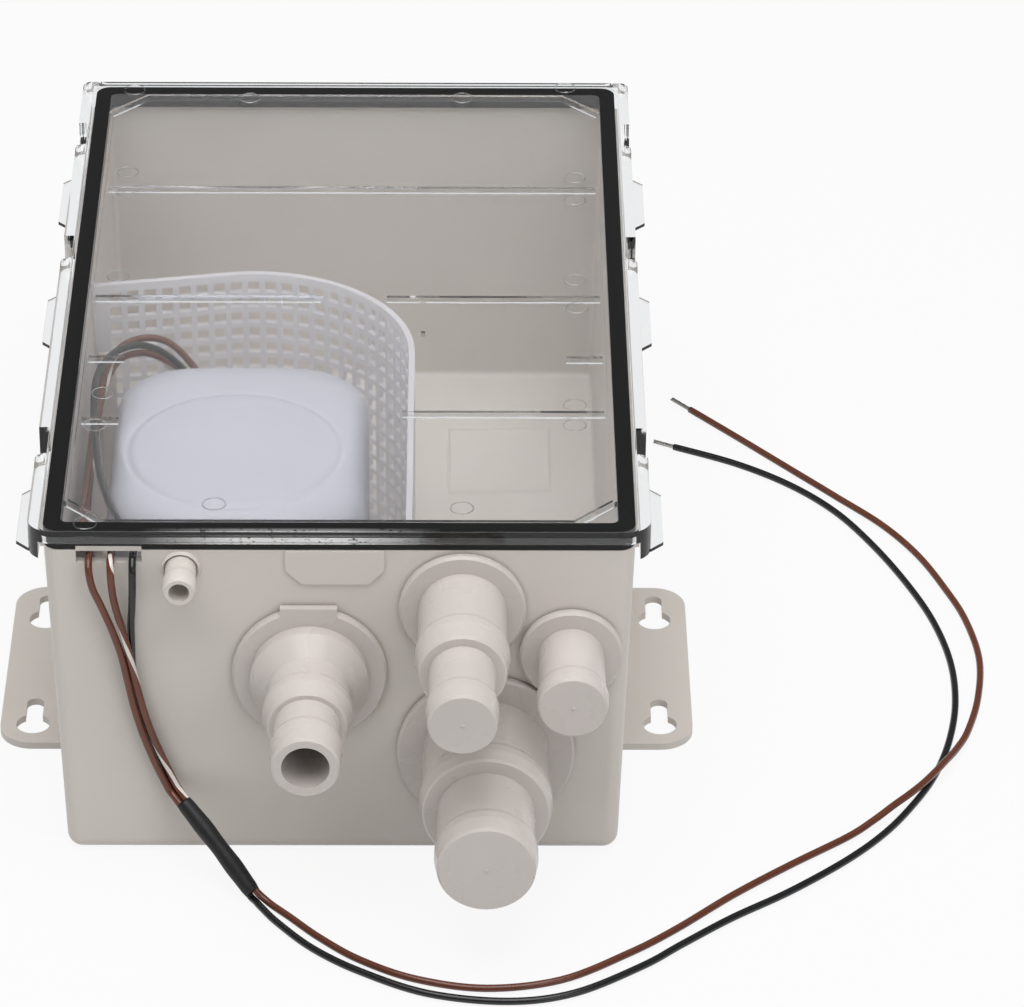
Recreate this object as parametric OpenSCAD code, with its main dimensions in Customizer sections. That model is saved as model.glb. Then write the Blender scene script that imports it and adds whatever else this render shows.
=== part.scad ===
// Shower sump: a moulded box with a clear snap lid, a lift-out mesh strainer,
// stepped hose fittings on the front wall and an automatic pump inside.
// Millimetres. +X right, +Y back, +Z up, origin at the centre of the box's underside.

/* [Box] */
// Length of the box over its rim, front to back
box_l = 300; // [290:1:330]
// Width of the box over its rim
box_w = 185; // [182:1:210]
// Height of the rim above the underside
box_h = 115; // [113:1:130]
// Thickness of the side walls
wall_t = 3; // [2:0.1:3.5]
// Thickness of the floor
floor_t = 3; // [2:0.1:3.5]
// Lean of the two long walls, in degrees
draft = 1.9; // [0:0.1:2.4]
// Radius of the upright corners and of the bottom edges
corner_r = 5; // [4:0.5:8]

/* [Mounting ears] */
// Length of each ear along the wall
ear_l = 96; // [92:1:110]
// Distance from the middle of the box to the outer edge of an ear
ear_reach = 115.5; // [114:0.5:125]
// Thickness of the ears
ear_t = 2.5; // [2:0.1:4]
// Middle of the ears along the box, from the box's middle towards the front
ear_forward = 43.5; // [30:0.5:55]
// Radius of the ears' outer corners
ear_corner_r = 11; // [6:0.5:14]
// Distance between the two keyholes of one ear
keyhole_pitch = 64.2; // [60:0.1:68]
// Diameter of a keyhole's wide end
keyhole_head_d = 11.3; // [9:0.1:12]
// Width of a keyhole's narrow slot
keyhole_slot_w = 5.7; // [4:0.1:7]
// Distance from the wide end's centre to the slot's end centre
keyhole_run = 12.2; // [10:0.1:14]
// Distance from the ear's outer edge to the line of keyholes
keyhole_inset = 10.9; // [8:0.1:12]

/* [Lid] */
// Thickness of the clear lid plate
lid_t = 2.5; // [2:0.1:4]
// How far the plate stands out past the rim at front and back
lid_over = 2.2; // [1.5:0.1:4]
// Thickness of the lid's upright edge round the gasket
lid_edge_t = 1.2; // [0.8:0.1:1.8]
// Height of the lid's top face above the box rim
lid_rise = 8; // [7:0.1:10]
// Thickness of the snap skirts
skirt_t = 3.4; // [2.5:0.1:4]
// How far the snap skirts reach below the rim
skirt_drop = 2.6; // [2.2:0.1:3.5]
// Depth of the stiffening ribs under the lid
rib_h = 3.6; // [2:0.1:5]
// Thickness of the ribs and of the locating frame
rib_t = 1.5; // [1:0.1:2.5]
// Depth of the locating frame under the lid
frame_h = 5.6; // [4:0.1:7]
// Cut across the corners of the locating frame
frame_cut = 13; // [8:0.5:18]
// How far the finger tabs stand out from the skirts
tab_reach = 4; // [3:0.1:6]
// Length of a finger tab
tab_l = 36; // [28:1:42]
// Thickness of a finger tab
tab_t = 1.2; // [0.8:0.1:2]

/* [Gasket] */
// Width of the lid gasket
gasket_w = 5.3; // [4:0.1:6]
// Height of the lid gasket
gasket_h = 5.2; // [4:0.1:5.5]

/* [Strainer] */
// Height of the strainer's top edge above the underside
strainer_top = 102; // [95:0.5:105]
// Thickness of the strainer wall
strainer_t = 2; // [1.5:0.1:2.5]
// Place of the strainer's outer face to the right of the middle
strainer_x = 22.4; // [20:0.1:23]
// Outer radius of the strainer's bend
strainer_r = 55.4; // [45:0.1:60]
// Angle of the bend
strainer_turn = 100; // [90:1:105]
// Distance from the box's middle to the bend's centre, towards the front
strainer_bend_forward = 7; // [0:0.5:20]
// Side of a square mesh hole
mesh_hole = 4; // [3:0.1:4.6]
// Distance from one mesh hole to the next
mesh_pitch = 6; // [5.6:0.1:7]

/* [Fittings] */
// Distance right of the middle to the large inlet
large_x = 46; // [44:0.5:50]
// Height of the large inlet
large_z = 40.4; // [38:0.2:44]
// Distance right of the middle to the medium inlet
medium_x = 38.5; // [38:0.1:40]
// How far the axis of the medium inlet is below the rim
medium_drop = 20.6; // [18:0.2:24]
// Distance right of the middle to the small inlet
small_x = 72.8; // [71:0.2:75]
// How far the axis of the small inlet is below the rim
small_drop = 37.6; // [36:0.2:40]
// Distance left of the middle to the discharge
discharge_left = 9.8; // [8:0.2:12]
// Height of the discharge
discharge_z = 70; // [67:0.5:74]
// Distance left of the middle to the vent
vent_left = 49.6; // [46:0.2:52]
// How far the axis of the vent is below the rim
vent_drop = 6.7; // [6.5:0.1:11]
// Thickness of the fittings' flanges
flange_t = 2.4; // [2:0.1:3.5]
// Thickness of the rubber washers under the flanges
washer_t = 0.8; // [0.5:0.1:1.5]
// Wall at a closed end
cap_t = 2.6; // [2:0.1:4]
// Bore of the discharge
discharge_bore_d = 15; // [12:0.1:16]
// Bore of the vent
vent_bore_d = 6.5; // [5:0.1:7]

/* [Pump] */
// Width of the pump
pump_w = 84; // [80:1:88]
// Length of the pump
pump_l = 111; // [109:1:113]
// Height of the pump's top above the underside
pump_top = 100; // [92:0.5:101]
// Distance left of the middle to the pump's axis
pump_left = 35; // [34:0.1:37]
// Distance from the box's middle to the pump's axis, towards the front
pump_forward = 66; // [64:0.5:68]
// Room between the inside of the front wall and the pump
pump_room = 39; // [38:0.5:42]
// Radius of the pump's upright corners
pump_corner_r = 20; // [17:0.5:24]
// Radius of the pump's soft top edges
pump_soft_r = 14; // [10:0.5:16]
// Thickness of the pump's shell
shell_t = 2.4; // [1.6:0.1:3]
// Radius of the impeller
impeller_r = 20; // [16:0.5:21]
// Number of impeller vanes
vanes = 6; // [4:1:8]
// Radius of the motor shaft
shaft_r = 2; // [1.5:0.1:2.5]
// Radius of the motor can
motor_r = 19; // [17:0.5:20]
// Length of the motor can
motor_l = 46; // [40:1:48]

/* [Wires] */
// Diameter of the wires over their insulation
wire_d = 2.4; // [2:0.1:2.6]
// Diameter of the splice sleeve
sleeve_d = 5.2; // [5:0.1:6]

/* [Hidden] */

// Colours
box_colour = "#cbc4bd";
clear_colour = [0.86, 0.9, 0.92, 0.35];
rubber_colour = "#1d1e20";
screen_colour = [0.93, 0.93, 0.93, 0.8];
pump_colour = "#f1f1f3";
dark_colour = "#2c2c2e";
steel_colour = "#b9bdc2";
copper_colour = "#b87333";
brown_colour = "#6b3a28";
impeller_colour = "#3b6ea8";
float_colour = "#e9e2cf";

// Fineness of hulled shapes and of turned ones
soft_fn = 32;
turned_fn = 96;

// Clearances: snug parts of one assembly, parts that come apart, turning parts
snug = 0.1;
gap = 0.3;
run = 0.05;
// Overrun of every cut
over = 1;

// Places worked out from the box
rim_x = box_w / 2;
rim_y = box_l / 2;
front_y = -rim_y;
inner_front_y = front_y + wall_t;
discharge_x = -discharge_left;
medium_z = box_h - medium_drop;
small_z = box_h - small_drop;
vent_z = box_h - vent_drop;
vent_x = -vent_left;
pump_x = -pump_left;
pump_y = -pump_forward;
pump_front = inner_front_y + pump_room;
pump_back = pump_front + pump_l;
plan_y = pump_front + pump_l / 2;

// Box details: the upright band of the rim, which is the catch rail of the lid,
// the raised pad under the rim, the slot for the leads and the strainer's grooves
rail_out = 1.2;
rail_h = 1.8;
pad_w = 31;
pad_h = 12;
pad_t = 1;
pad_x = -1.5;
pad_cut = 5;
slot_w = 20.5;
slot_h = 4.2;
slot_x = -72;
slot_below_rim = 0.4;
bridge_t = 1.3;
guide_depth = 4;
guide_t = 1.6;
guide_top_share = 0.66;
screw_boss_r = 5;
screw_boss_h = 4;
function inner_side_at(z) = rim_x - wall_t - (box_h - rail_h - z) * tan(draft);

// Lid details
skirt_in_x = rim_x + rail_out + gap;
skirt_out_x = skirt_in_x + skirt_t;
lid_l = box_l + 2 * lid_over;
lid_w = 2 * skirt_in_x;
lid_top = box_h + lid_rise;
lid_under = lid_top - lid_t;
gasket_bottom = lid_under - gasket_h;
lid_edge_h = 4.5;
skirt_bottom = box_h - skirt_drop;
skirt_back_r = 3;
skirt_front_r = 8;
frame_w = box_w - 2 * gasket_w - 2 * snug;
frame_l = box_l - 2 * gasket_w - 2 * snug;
// Snap skirts, finger tabs and ribs, as shares of the lid's length from the front
skirt_shares = [[0, 0.155], [0.208, 0.575], [0.625, 0.844], [0.896, 1]];
tab_middle_shares = [0.078, 0.487, 0.76];
rib_back_share = 0.746;
rib_middle_share = 0.494;
rib_front_share = 0.247;
short_rib_share = 0.362;
left_rib_share = 0.232;
short_rib_l = 12;
rib_end_gap = 1.2;
mid_left_end_x = -9;
mid_right_start_x = 13;
hang_x = 26;
hang_l = 23;
front_rib_start_x = 19;

// Strainer details
strainer_bottom = floor_t + gap;
strainer_front_y = inner_front_y + gap;
bend_x = strainer_x - strainer_r;
bend_y = -strainer_bend_forward;
bend_end = [bend_x + strainer_r * cos(strainer_turn), bend_y + strainer_r * sin(strainer_turn)];
left_run = (rim_x + bend_end[0]) / cos(strainer_turn - 90);
groove_run = (inner_side_at(floor_t) + bend_end[0]) / cos(strainer_turn - 90);
corner_notch = 2.6;
top_band = 3;
mesh_rows = 14;
bend_columns = 16;
left_columns = 7;

// Fittings: each hose step is [shank radius, crest radius, face radius, length, nose length]
large_steps = [[20.2, 21, 20.2, 33, 5], [15.4, 16.2, 15.4, 30.6, 6]];
medium_steps = [[14, 14.8, 13.8, 35.8, 8], [10.5, 11.3, 10.7, 28.1, 6]];
small_steps = [[10.6, 11.3, 10.9, 29, 3]];
discharge_steps = [[13.4, 14.2, 12.6, 19, 6], [10.5, 11.3, 10.7, 22.5, 8]];
vent_steps = [[4.9, 5.45, 5.2, 14.5, 2.5]];
crest_l = 3;
crest_rise_l = 2.5;
face_round = 0.7;
large_flange_r = 28.4;
medium_flange_r = 20;
small_flange_r = 16.4;
discharge_flange_r = 24.6;
vent_boss_r = 6.4;
vent_boss_l = 1.2;
// Bores behind the steps of the closed inlets
large_bores = [16.4, 12.2];
medium_bores = [10.9, 7.8];
small_bore = 8;
spigot_wall = 1.5;
spigot_past = 3;
bead_out = 0.8;
bead_l = 1.6;
washer_in = 1.2;
flange_round = 0.8;
function spigot_r(bore) = bore + spigot_wall;

// Discharge valve
boss_r = 18.8;
boss_l = 4.2;
shoulder_l = 5.6;
valve_r = 12.3;
valve_l = 21;
valve_cone_l = 8;
key_w = 18;
key_rise = 0.5;
elbow_r = 8;
elbow_bore_r = 5.8;
elbow_in = 1;
elbow_wall_y = front_y + elbow_in;
elbow_drop = 19;
flap_r = 9.2;
flap_t = 1.6;
flap_hinge_up = 10.2;
flap_loop_r = 1.2;
flap_loop_w = 6;
flap_pin_r = 0.6;
flap_pin_l = 16;
flap_back_y = elbow_wall_y - gap;
flap_pin_y = flap_back_y - flap_t / 2;

// Hose between the pump and the discharge
hose_y = -130;
hose_wall = 2.6;
hose_bottom = 34;
hose_top = 60;
hose_grip = 9;
clamp_w = 7;
clamp_t = 0.7;
clamp_ear = 3.2;

// Pump levels, from the floor up
base_t = 2;
base_h = 11;
base_in = 2;
base_wall = 2.2;
base_slot_w = 3.2;
base_slot_pitch = 8;
clip_w = 14;
clip_h = 15;
clip_t = 1.8;
screw_r = 1.9;
screw_head_r = 3.8;
screw_head_h = 2;
screw_spread = 44;
screw_back = 8;
screw_bite = 5;
plate_bottom = floor_t + base_h;
plate_t = 2.4;
volute_bottom = plate_bottom + plate_t;
volute_h = 2 * elbow_r;
volute_top = volute_bottom + volute_h;
outlet_z = volute_bottom + elbow_r;
chamber_h = volute_h - plate_t;
spiral_wall = 2.4;
spiral_gap = 2.5;
spiral_growth = 8.5;
spiral_start_r = impeller_r + spiral_gap;
spiral_end_r = spiral_start_r + spiral_growth;
spiral_steps = 36;
eye_r = 9.5;
impeller_bottom = volute_bottom + gap;
impeller_disc_t = 1.8;
impeller_vane_h = 6.4;
vane_t = 1.6;
vane_r = 15;
vane_out_share = 0.7;
vane_in = 0.5;
hub_r = 5;
hub_h = 11;
seal_r = 7;
seal_h = 3;
seal_room = 2;
lip_h = 5;
lip_t = 1.6;
motor_bottom = volute_top + seal_h + seal_room;
motor_top = motor_bottom + motor_l;
can_t = 1.2;
collar_up = 12;
collar_t = 2.4;
ledge_in = 2;
bush_r = 4;
bush_h = 4.5;
magnet_t = 4;
magnet_gap = 0.7;
magnet_span = 112.5;
rotor_r = motor_r - can_t - magnet_t - magnet_gap;
rotor_l = 24;
rotor_up = 8;
rotor_slots = 5;
rotor_slot_w = 2;
winding_share = 0.72;
commutator_r = 4.6;
commutator_l = 6;
end_cap_t = 2.4;
brush_w = 3;
brush_l = 7;
brush_wall = 1;
plateau_r = 34;
plateau_h = 0.6;
shoulder_drop = 5;

// Float compartment behind the motor: the float swings on a pin that runs front to back
float_l = 38;
float_t = 13;
float_h = 16;
float_room = 25;
float_hub_r = 3.4;
float_arm = 8;
float_pin_r = 1.5;
float_pin_z = 44;
float_pin_left = 28;
float_pin_x = pump_x - float_pin_left;
float_pin_seat = 1;
divider_t = 2;
divider_y = pump_back - shell_t - float_room;
float_y = divider_y + (float_room - float_t) / 2;
switch_w = 18;
switch_h = 16;
switch_l = 9;
switch_up = 19;
grommet_r = 5.4;
grommet_neck_r = 4;
grommet_head = 4;
grommet_x = -51;
grommet_z = 74;

// The shrunk sleeve over the joints of the leads, and the places where wires meet its
// ends, each at an angle from the top, seen along the sleeve
sleeve_from = [-50.5, -157, 24.2];
sleeve_to = [-28.2, -177, 3.2];
sleeve_dir = unit(sleeve_to - sleeve_from);
sleeve_up = square_to([0, 0, 1], sleeve_dir);
sleeve_right = cross(sleeve_dir, sleeve_up);
function sleeve_point(end, side, along) = end + along * sleeve_dir
    + (wire_d / sqrt(3) + snug) * (cos(side) * sleeve_up + sin(side) * sleeve_right);

brown_side = 98;
striped_side = -22;
black_side = -142;
brown_side_out = -21;
black_side_out = 159;
way_in = -2.5;
way_out = 1.2;
function grommet_point(right, back, up) = [grommet_x + right, pump_back + grommet_head + back, grommet_z + up];

// Routes of the leads: points of smooth curves, chosen by hand
brown_inside_route = [grommet_point(2, 0, 0), grommet_point(2, 2.6, 0), [-51.4, 16, 79.6], [-60, 19.5, 89], [-68, 18, 93],
    [-76, 11, 94.5], [-81, 0, 93.5], [-83.4, -16, 90], [-84.4, -38, 87.5], [-84.6, -64, 87],
    [-84.4, -90, 90], [-82.6, -112, 98], [-80, -130, 107], [-78.4, -141, 111.8],
    [-78.2, -145.5, 112.4], [-78.2, -150, 112.4]];
striped_inside_route = [grommet_point(-1.6, 0, -2), grommet_point(-1.6, 2.4, -2), [-56.2, 14.6, 77.6], [-64, 16.5, 85.6], [-71.6, 13.6, 89.6],
    [-78.4, 5, 91], [-82.2, -9, 88.6], [-83.6, -28, 85.2], [-84, -50, 83.6], [-84, -72, 84],
    [-82.6, -94, 88.4], [-79, -115, 96.6], [-74.4, -132, 105.8], [-71.7, -141.5, 111.4],
    [-71.4, -145.5, 112.4], [-71.4, -150, 112.4]];
black_inside_route = [grommet_point(-1.4, 0, 2), grommet_point(-1.4, 2.2, 2), [-56, 12.6, 83], [-64, 12.4, 91], [-72, 7, 96.4],
    [-79.6, -4, 99], [-83.6, -20, 99.6], [-83.4, -42, 99.4], [-81.4, -64, 99.4], [-78.4, -86, 100.6],
    [-74, -107, 103], [-69.2, -125, 106.8], [-65.4, -138, 111.2], [-64.6, -142.5, 112.2],
    [-64.5, -146, 112.4], [-64.5, -150, 112.4]];
brown_route = [[-78.2, -150, 112.4], [-78.2, -152.4, 112.4], [-78, -155.2, 110], [-77, -156, 104.5],
    [-74.6, -155.8, 98], [-71.4, -155.4, 88.5], [-68.9, -154.9, 79], [-67.4, -154.6, 70.5],
    [-65.4, -154.5, 59], [-63, -154.4, 49], [-60.2, -154.3, 40], [-57.4, -154.2, 32.4],
    [-55.2, -154.8, 27.6], sleeve_point(sleeve_from, brown_side, way_in), sleeve_point(sleeve_from, brown_side, 0)];
striped_route = [[-71.4, -150, 112.4], [-71.4, -152.4, 112.4], [-71.3, -155, 110], [-71, -155.8, 104.5],
    [-70.2, -155.6, 98], [-68.2, -155.2, 88.5], [-66.4, -154.9, 79], [-64.9, -154.6, 70.5],
    [-62.7, -154.5, 59], [-60.1, -154.5, 49], [-57, -154.4, 40], [-54.7, -153.9, 33.4],
    [-53, -154.3, 29.2], sleeve_point(sleeve_from, striped_side, way_in), sleeve_point(sleeve_from, striped_side, 0)];
black_route = [[-64.5, -150, 112.4], [-64.5, -152.2, 112.4], [-64.5, -154.8, 110], [-64.6, -155.2, 104.5],
    [-65, -154.2, 97], [-65.6, -152.9, 89], [-65.7, -152.1, 81], [-65.6, -151.9, 72],
    [-64.2, -151.8, 61], [-61.8, -151.7, 50], [-58.8, -151.6, 40.4], [-56.2, -151.6, 33],
    [-54.7, -151.9, 28.2], sleeve_point(sleeve_from, black_side, way_in), sleeve_point(sleeve_from, black_side, 0)];
brown_supply_route = [sleeve_point(sleeve_to, brown_side_out, 0), sleeve_point(sleeve_to, brown_side_out, way_out),
    [-24.6, -179.2, 2.5], [-21.6, -182, 1.6], [-16.4, -187.6, 1.5],
    [-6, -199.4, 1.5], [6.7, -210.8, 1.5], [24, -220.6, 1.5], [46, -225.4, 1.5], [69.5, -221, 1.5],
    [90.7, -207.2, 1.5], [106, -194.4, 1.5], [125, -175.8, 1.5], [144, -159.4, 1.5],
    [163.4, -143.9, 1.6], [172, -136.2, 2.5], [179.4, -129, 3.8], [184.6, -123.4, 4.1],
    [189.4, -117.4, 4.1], [193.8, -111, 4.1], [198.2, -103.4, 3.7], [202.6, -94.6, 2.5],
    [207.4, -82.6, 1.6], [212.4, -62.6, 1.5], [214.8, -38.4, 1.5], [212, -14, 1.5],
    [206.6, 5.6, 1.5], [198.6, 27.6, 1.5], [187.4, 47.6, 1.5], [172.1, 66.8, 1.5], [155.6, 87, 1.5],
    [138.9, 107.4, 1.5], [122.1, 127.5, 1.5]];
black_supply_route = [sleeve_point(sleeve_to, black_side_out, 0), sleeve_point(sleeve_to, black_side_out, way_out),
    [-27, -179.6, 1.4], [-25.4, -182.4, 1.4], [-19.8, -191, 1.4],
    [-8.4, -204.6, 1.4], [6.7, -216.6, 1.4], [28, -228, 1.4], [52.9, -232, 1.4], [73.7, -227.6, 1.4],
    [95, -213.6, 1.4], [108, -202, 1.4], [124.2, -188, 1.4], [143.4, -173.6, 1.4], [162.6, -156.4, 1.4],
    [176.2, -140.8, 1.4], [186.6, -124.4, 1.4], [194.6, -108, 1.4], [200.8, -88, 1.4],
    [204.6, -65, 1.4], [204.8, -40, 1.4], [200.6, -14, 1.4], [192.8, 11, 1.4], [182.6, 35.6, 1.4],
    [171, 57, 1.4], [156, 74.8, 1.4], [137.4, 89.4, 1.4], [115.3, 101.2, 1.4]];
brown_tip_l = 10.2;
black_tip_l = 8.2;
wire_sides = 8;
sleeve_sides = 12;
tip_d = 1.5;
// Rings of a tube for each stretch between two route points
inside_rings = 2;
lead_rings = 1;
supply_rings = 2;
sleeve_rings = 4;

// Smooth curve through a route's points, and the tube that is swept along it
function unit(v) = v / norm(v);
function curve_point(a, b, c, d, t) =
    0.5 * ((2 * b) + (c - a) * t + (2 * a - 5 * b + 4 * c - d) * t * t
    + (3 * b - a - 3 * c + d) * t * t * t);
function curve(p, steps) =
    let (n = len(p))
    concat(
        [for (i = [0 : n - 2]) for (k = [0 : steps - 1])
            curve_point(p[max(i - 1, 0)], p[i], p[i + 1], p[min(i + 2, n - 1)], k / steps)],
        [p[n - 1]]);
// Headings of the rings: both ends are square to the route's own first and last stretch
function headings(route, p) =
    let (n = len(route), m = len(p))
    concat([unit(route[1] - route[0])], [for (i = [1 : 1 : m - 2]) unit(p[i + 1] - p[i - 1])],
        [unit(route[n - 1] - route[n - 2])]);
function square_to(u, t) = unit(u - (u * t) * t);
function sides(h, i = 0, u = [0.3, 0.2, 1]) =
    i == len(h) ? [] :
    let (v = square_to(u, h[i]))
    concat([v], sides(h, i + 1, v));
function ahead(route, l) =
    let (n = len(route))
    route[n - 1] + l * unit(route[n - 1] - route[n - 2]);

module tube(route, r, steps, count) {
    p = curve(route, steps);
    h = headings(route, p);
    u = sides(h);
    last = len(p) - 1;
    points = [for (i = [0 : last])
        let (w = cross(h[i], u[i]))
        for (k = [0 : count - 1])
            p[i] + r * (cos(360 * k / count) * u[i] + sin(360 * k / count) * w)];
    walls = [for (i = [0 : last - 1]) for (k = [0 : count - 1])
        let (a = i * count + k, b = i * count + (k + 1) % count)
        each [[a, b + count, b], [a, a + count, b + count]]];
    start = [for (k = [1 : count - 2]) [0, k, k + 1]];
    end = [for (k = [1 : count - 2]) [last * count, last * count + k + 1, last * count + k]];
    polyhedron(points, concat(walls, start, end));
}

// Outline of a plate with round corners, centred
module round_outline(w, l, r) {
    square([w - 2 * r, l], center = true);
    square([w, l - 2 * r], center = true);
    for (x = [-1, 1]) for (y = [-1, 1])
        translate([x * (w / 2 - r), y * (l / 2 - r)])
            circle(r, $fn = turned_fn);
}

// Turned shapes on the front wall: their z points out of the wall
module on_front(x, z) {
    translate([x, front_y, z])
        rotate([90, 0, 0])
            children();
}

module turned(points) {
    rotate_extrude($fn = turned_fn)
        polygon(points);
}

module hollow_cylinder(h, outer, inner) {
    difference() {
        cylinder(h, r = outer, $fn = turned_fn);
        translate([0, 0, -over])
            cylinder(h + 2 * over, r = inner, $fn = turned_fn);
    }
}

// A tray shape: soft lower edges, two leaning sides and an upright band at the rim
module leaning_block(w, l, z_low, z_high, z_band, r) {
    low_in = (z_band - z_low - r) * tan(draft);
    hull()
        for (x = [-1, 1]) for (y = [-1, 1]) {
            translate([x * (w / 2 - r - low_in), y * (l / 2 - r), z_low])
                rotate_extrude($fn = soft_fn)
                    intersection() {
                        translate([0, r])
                            circle(r, $fn = soft_fn);
                        square([r, r]);
                    }
            translate([x * (w / 2 - r), y * (l / 2 - r), z_band])
                cylinder(z_high - z_band, r, r, $fn = soft_fn);
        }
}

module box_inside(less) {
    leaning_block(box_w - 2 * wall_t - 2 * less, box_l - 2 * wall_t - 2 * less, floor_t, box_h + bridge_t + over,
        box_h - rail_h, corner_r - wall_t);
}

// Keyhole with its round end towards the front
module keyhole() {
    cylinder(ear_t + 2 * over, d = keyhole_head_d, $fn = turned_fn);
    translate([0, keyhole_run, 0])
        cylinder(ear_t + 2 * over, d = keyhole_slot_w, $fn = turned_fn);
    translate([-keyhole_slot_w / 2, 0, 0])
        cube([keyhole_slot_w, keyhole_run, ear_t + 2 * over]);
}

module ears() {
    heads_y = -ear_forward - (keyhole_run + keyhole_slot_w / 2 - keyhole_head_d / 2) / 2;
    difference() {
        translate([0, -ear_forward, 0])
            linear_extrude(ear_t)
                round_outline(2 * ear_reach, ear_l, ear_corner_r);
        for (side = [-1, 1]) for (row = [-1, 1])
            translate([side * (ear_reach - keyhole_inset), heads_y + row * keyhole_pitch / 2, -over])
                keyhole();
    }
}

// Ribs in pairs that hold the strainer's two ends
module strainer_grooves() {
    guide_h = box_h * guide_top_share - floor_t;
    for (x = [strainer_x - strainer_t - gap - guide_t, strainer_x + gap])
        translate([x, inner_front_y - wall_t / 2, floor_t - wall_t / 2])
            cube([guide_t, guide_depth + wall_t / 2, guide_h + wall_t / 2]);
    translate([bend_end[0], bend_end[1], floor_t - wall_t / 2])
        rotate([0, 0, strainer_turn - 90])
            for (y = [gap, -strainer_t - gap - guide_t])
                translate([-groove_run - wall_t / 2, y, 0])
                    cube([guide_depth + wall_t / 2, guide_t, guide_h + wall_t / 2]);
}

// Shallow pad on the front wall, under the rim
module front_pad() {
    translate([pad_x, front_y + over, box_h])
        rotate([90, 0, 0])
            linear_extrude(pad_t + over)
                polygon([[-pad_w / 2, 0], [-pad_w / 2, pad_cut - pad_h], [pad_cut - pad_w / 2, -pad_h],
                    [pad_w / 2 - pad_cut, -pad_h], [pad_w / 2, pad_cut - pad_h], [pad_w / 2, 0]]);
}

// The vent is an open nipple moulded on the wall
module vent_nipple() {
    on_front(vent_x, vent_z)
        turned(concat([[0, -wall_t / 2], [vent_boss_r, -wall_t / 2], [vent_boss_r, vent_boss_l - flange_round],
            [vent_boss_r - flange_round, vent_boss_l]], barb_outline(vent_steps, 0), [[0, vent_steps[0][3]]]));
}

function screw_places() = [for (side = [-1, 1]) [pump_x + side * screw_spread / 2, pump_y + screw_back]];
function wall_holes() = [
    [large_x, large_z, spigot_r(large_bores[0]) + snug],
    [medium_x, medium_z, spigot_r(medium_bores[0]) + snug],
    [small_x, small_z, spigot_r(small_bore) + snug],
    [discharge_x, discharge_z, spigot_r(valve_r) + snug],
    [vent_x, vent_z, vent_bore_d / 2]];

module sump_box() {
    color(box_colour)
        difference() {
            union() {
                difference() {
                    union() {
                        leaning_block(box_w, box_l, 0, box_h, box_h - rail_h, corner_r);
                        // catch rail of the lid
                        for (side = [-1, 1])
                            translate([side * (rim_x + rail_out / 2 - wall_t / 2), 0, box_h - rail_h / 2])
                                cube([wall_t + rail_out, box_l - 2 * corner_r, rail_h], center = true);
                        // raised bridge over the slot for the leads
                        translate([slot_x - slot_w / 2, front_y, box_h - wall_t])
                            cube([slot_w, wall_t, wall_t + bridge_t]);
                        front_pad();
                        ears();
                        vent_nipple();
                    }
                    box_inside(0);
                }
                intersection() {
                    strainer_grooves();
                    box_inside(-wall_t / 2);
                }
                for (place = screw_places())
                    translate([place[0], place[1], floor_t - base_t])
                        cylinder(base_t + screw_boss_h, r = screw_boss_r, $fn = turned_fn);
            }
            for (hole = wall_holes())
                on_front(hole[0], hole[1])
                    translate([0, 0, -wall_t - over])
                        cylinder(wall_t + 2 * over + vent_steps[0][3], r = hole[2], $fn = turned_fn);
            for (place = screw_places())
                translate([place[0], place[1], floor_t + screw_boss_h - screw_bite])
                    cylinder(screw_bite + over, r = screw_r, $fn = turned_fn);
            translate([slot_x - slot_w / 2, front_y - over, box_h - slot_below_rim - slot_h])
                cube([slot_w, wall_t + 2 * over, slot_h]);
        }
}

function lid_y(share) = (share - 0.5) * lid_l;

// Outline of the snap skirts: bands of the wide lid, with round outer corners
module skirt_outline() {
    for (s = skirt_shares)
        for (side = [0, 1])
            mirror([side, 0])
                intersection() {
                    round_outline(2 * skirt_out_x, lid_l, s[0] == 0 ? skirt_front_r : skirt_back_r);
                    union() {
                        translate([0, lid_y(s[0])])
                            square([skirt_out_x - skirt_back_r, lid_y(s[1]) - lid_y(s[0])]);
                        translate([0, lid_y(s[0])])
                            square([skirt_out_x, lid_y(s[1]) - lid_y(s[0]) - skirt_back_r]);
                        translate([skirt_out_x - skirt_back_r, lid_y(s[1]) - skirt_back_r])
                            circle(skirt_back_r, $fn = turned_fn);
                    }
                }
}

module lid_outline() {
    round_outline(lid_w, lid_l, corner_r);
    skirt_outline();
}

module cut_corner_outline(w, l, cut) {
    polygon([[cut - w / 2, -l / 2], [w / 2 - cut, -l / 2], [w / 2, cut - l / 2],
        [w / 2, l / 2 - cut], [w / 2 - cut, l / 2], [cut - w / 2, l / 2],
        [-w / 2, l / 2 - cut], [-w / 2, cut - l / 2]]);
}

module finger_tabs() {
    for (share = tab_middle_shares) for (side = [0, 1])
        mirror([side, 0, 0])
            translate([skirt_out_x - skirt_t / 2, lid_y(share), skirt_bottom])
                linear_extrude(tab_t)
                    polygon([[0, -tab_l / 2], [skirt_t / 2, -tab_l / 2], [tab_reach + skirt_t / 2, tab_reach - tab_l / 2],
                        [tab_reach + skirt_t / 2, tab_l / 2 - tab_reach], [skirt_t / 2, tab_l / 2], [0, tab_l / 2]]);
}

module rib(x_from, x_to, y) {
    translate([x_from, y - rib_t / 2, lid_under - rib_h])
        cube([x_to - x_from, rib_t, rib_h + lid_t / 2]);
}

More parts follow.
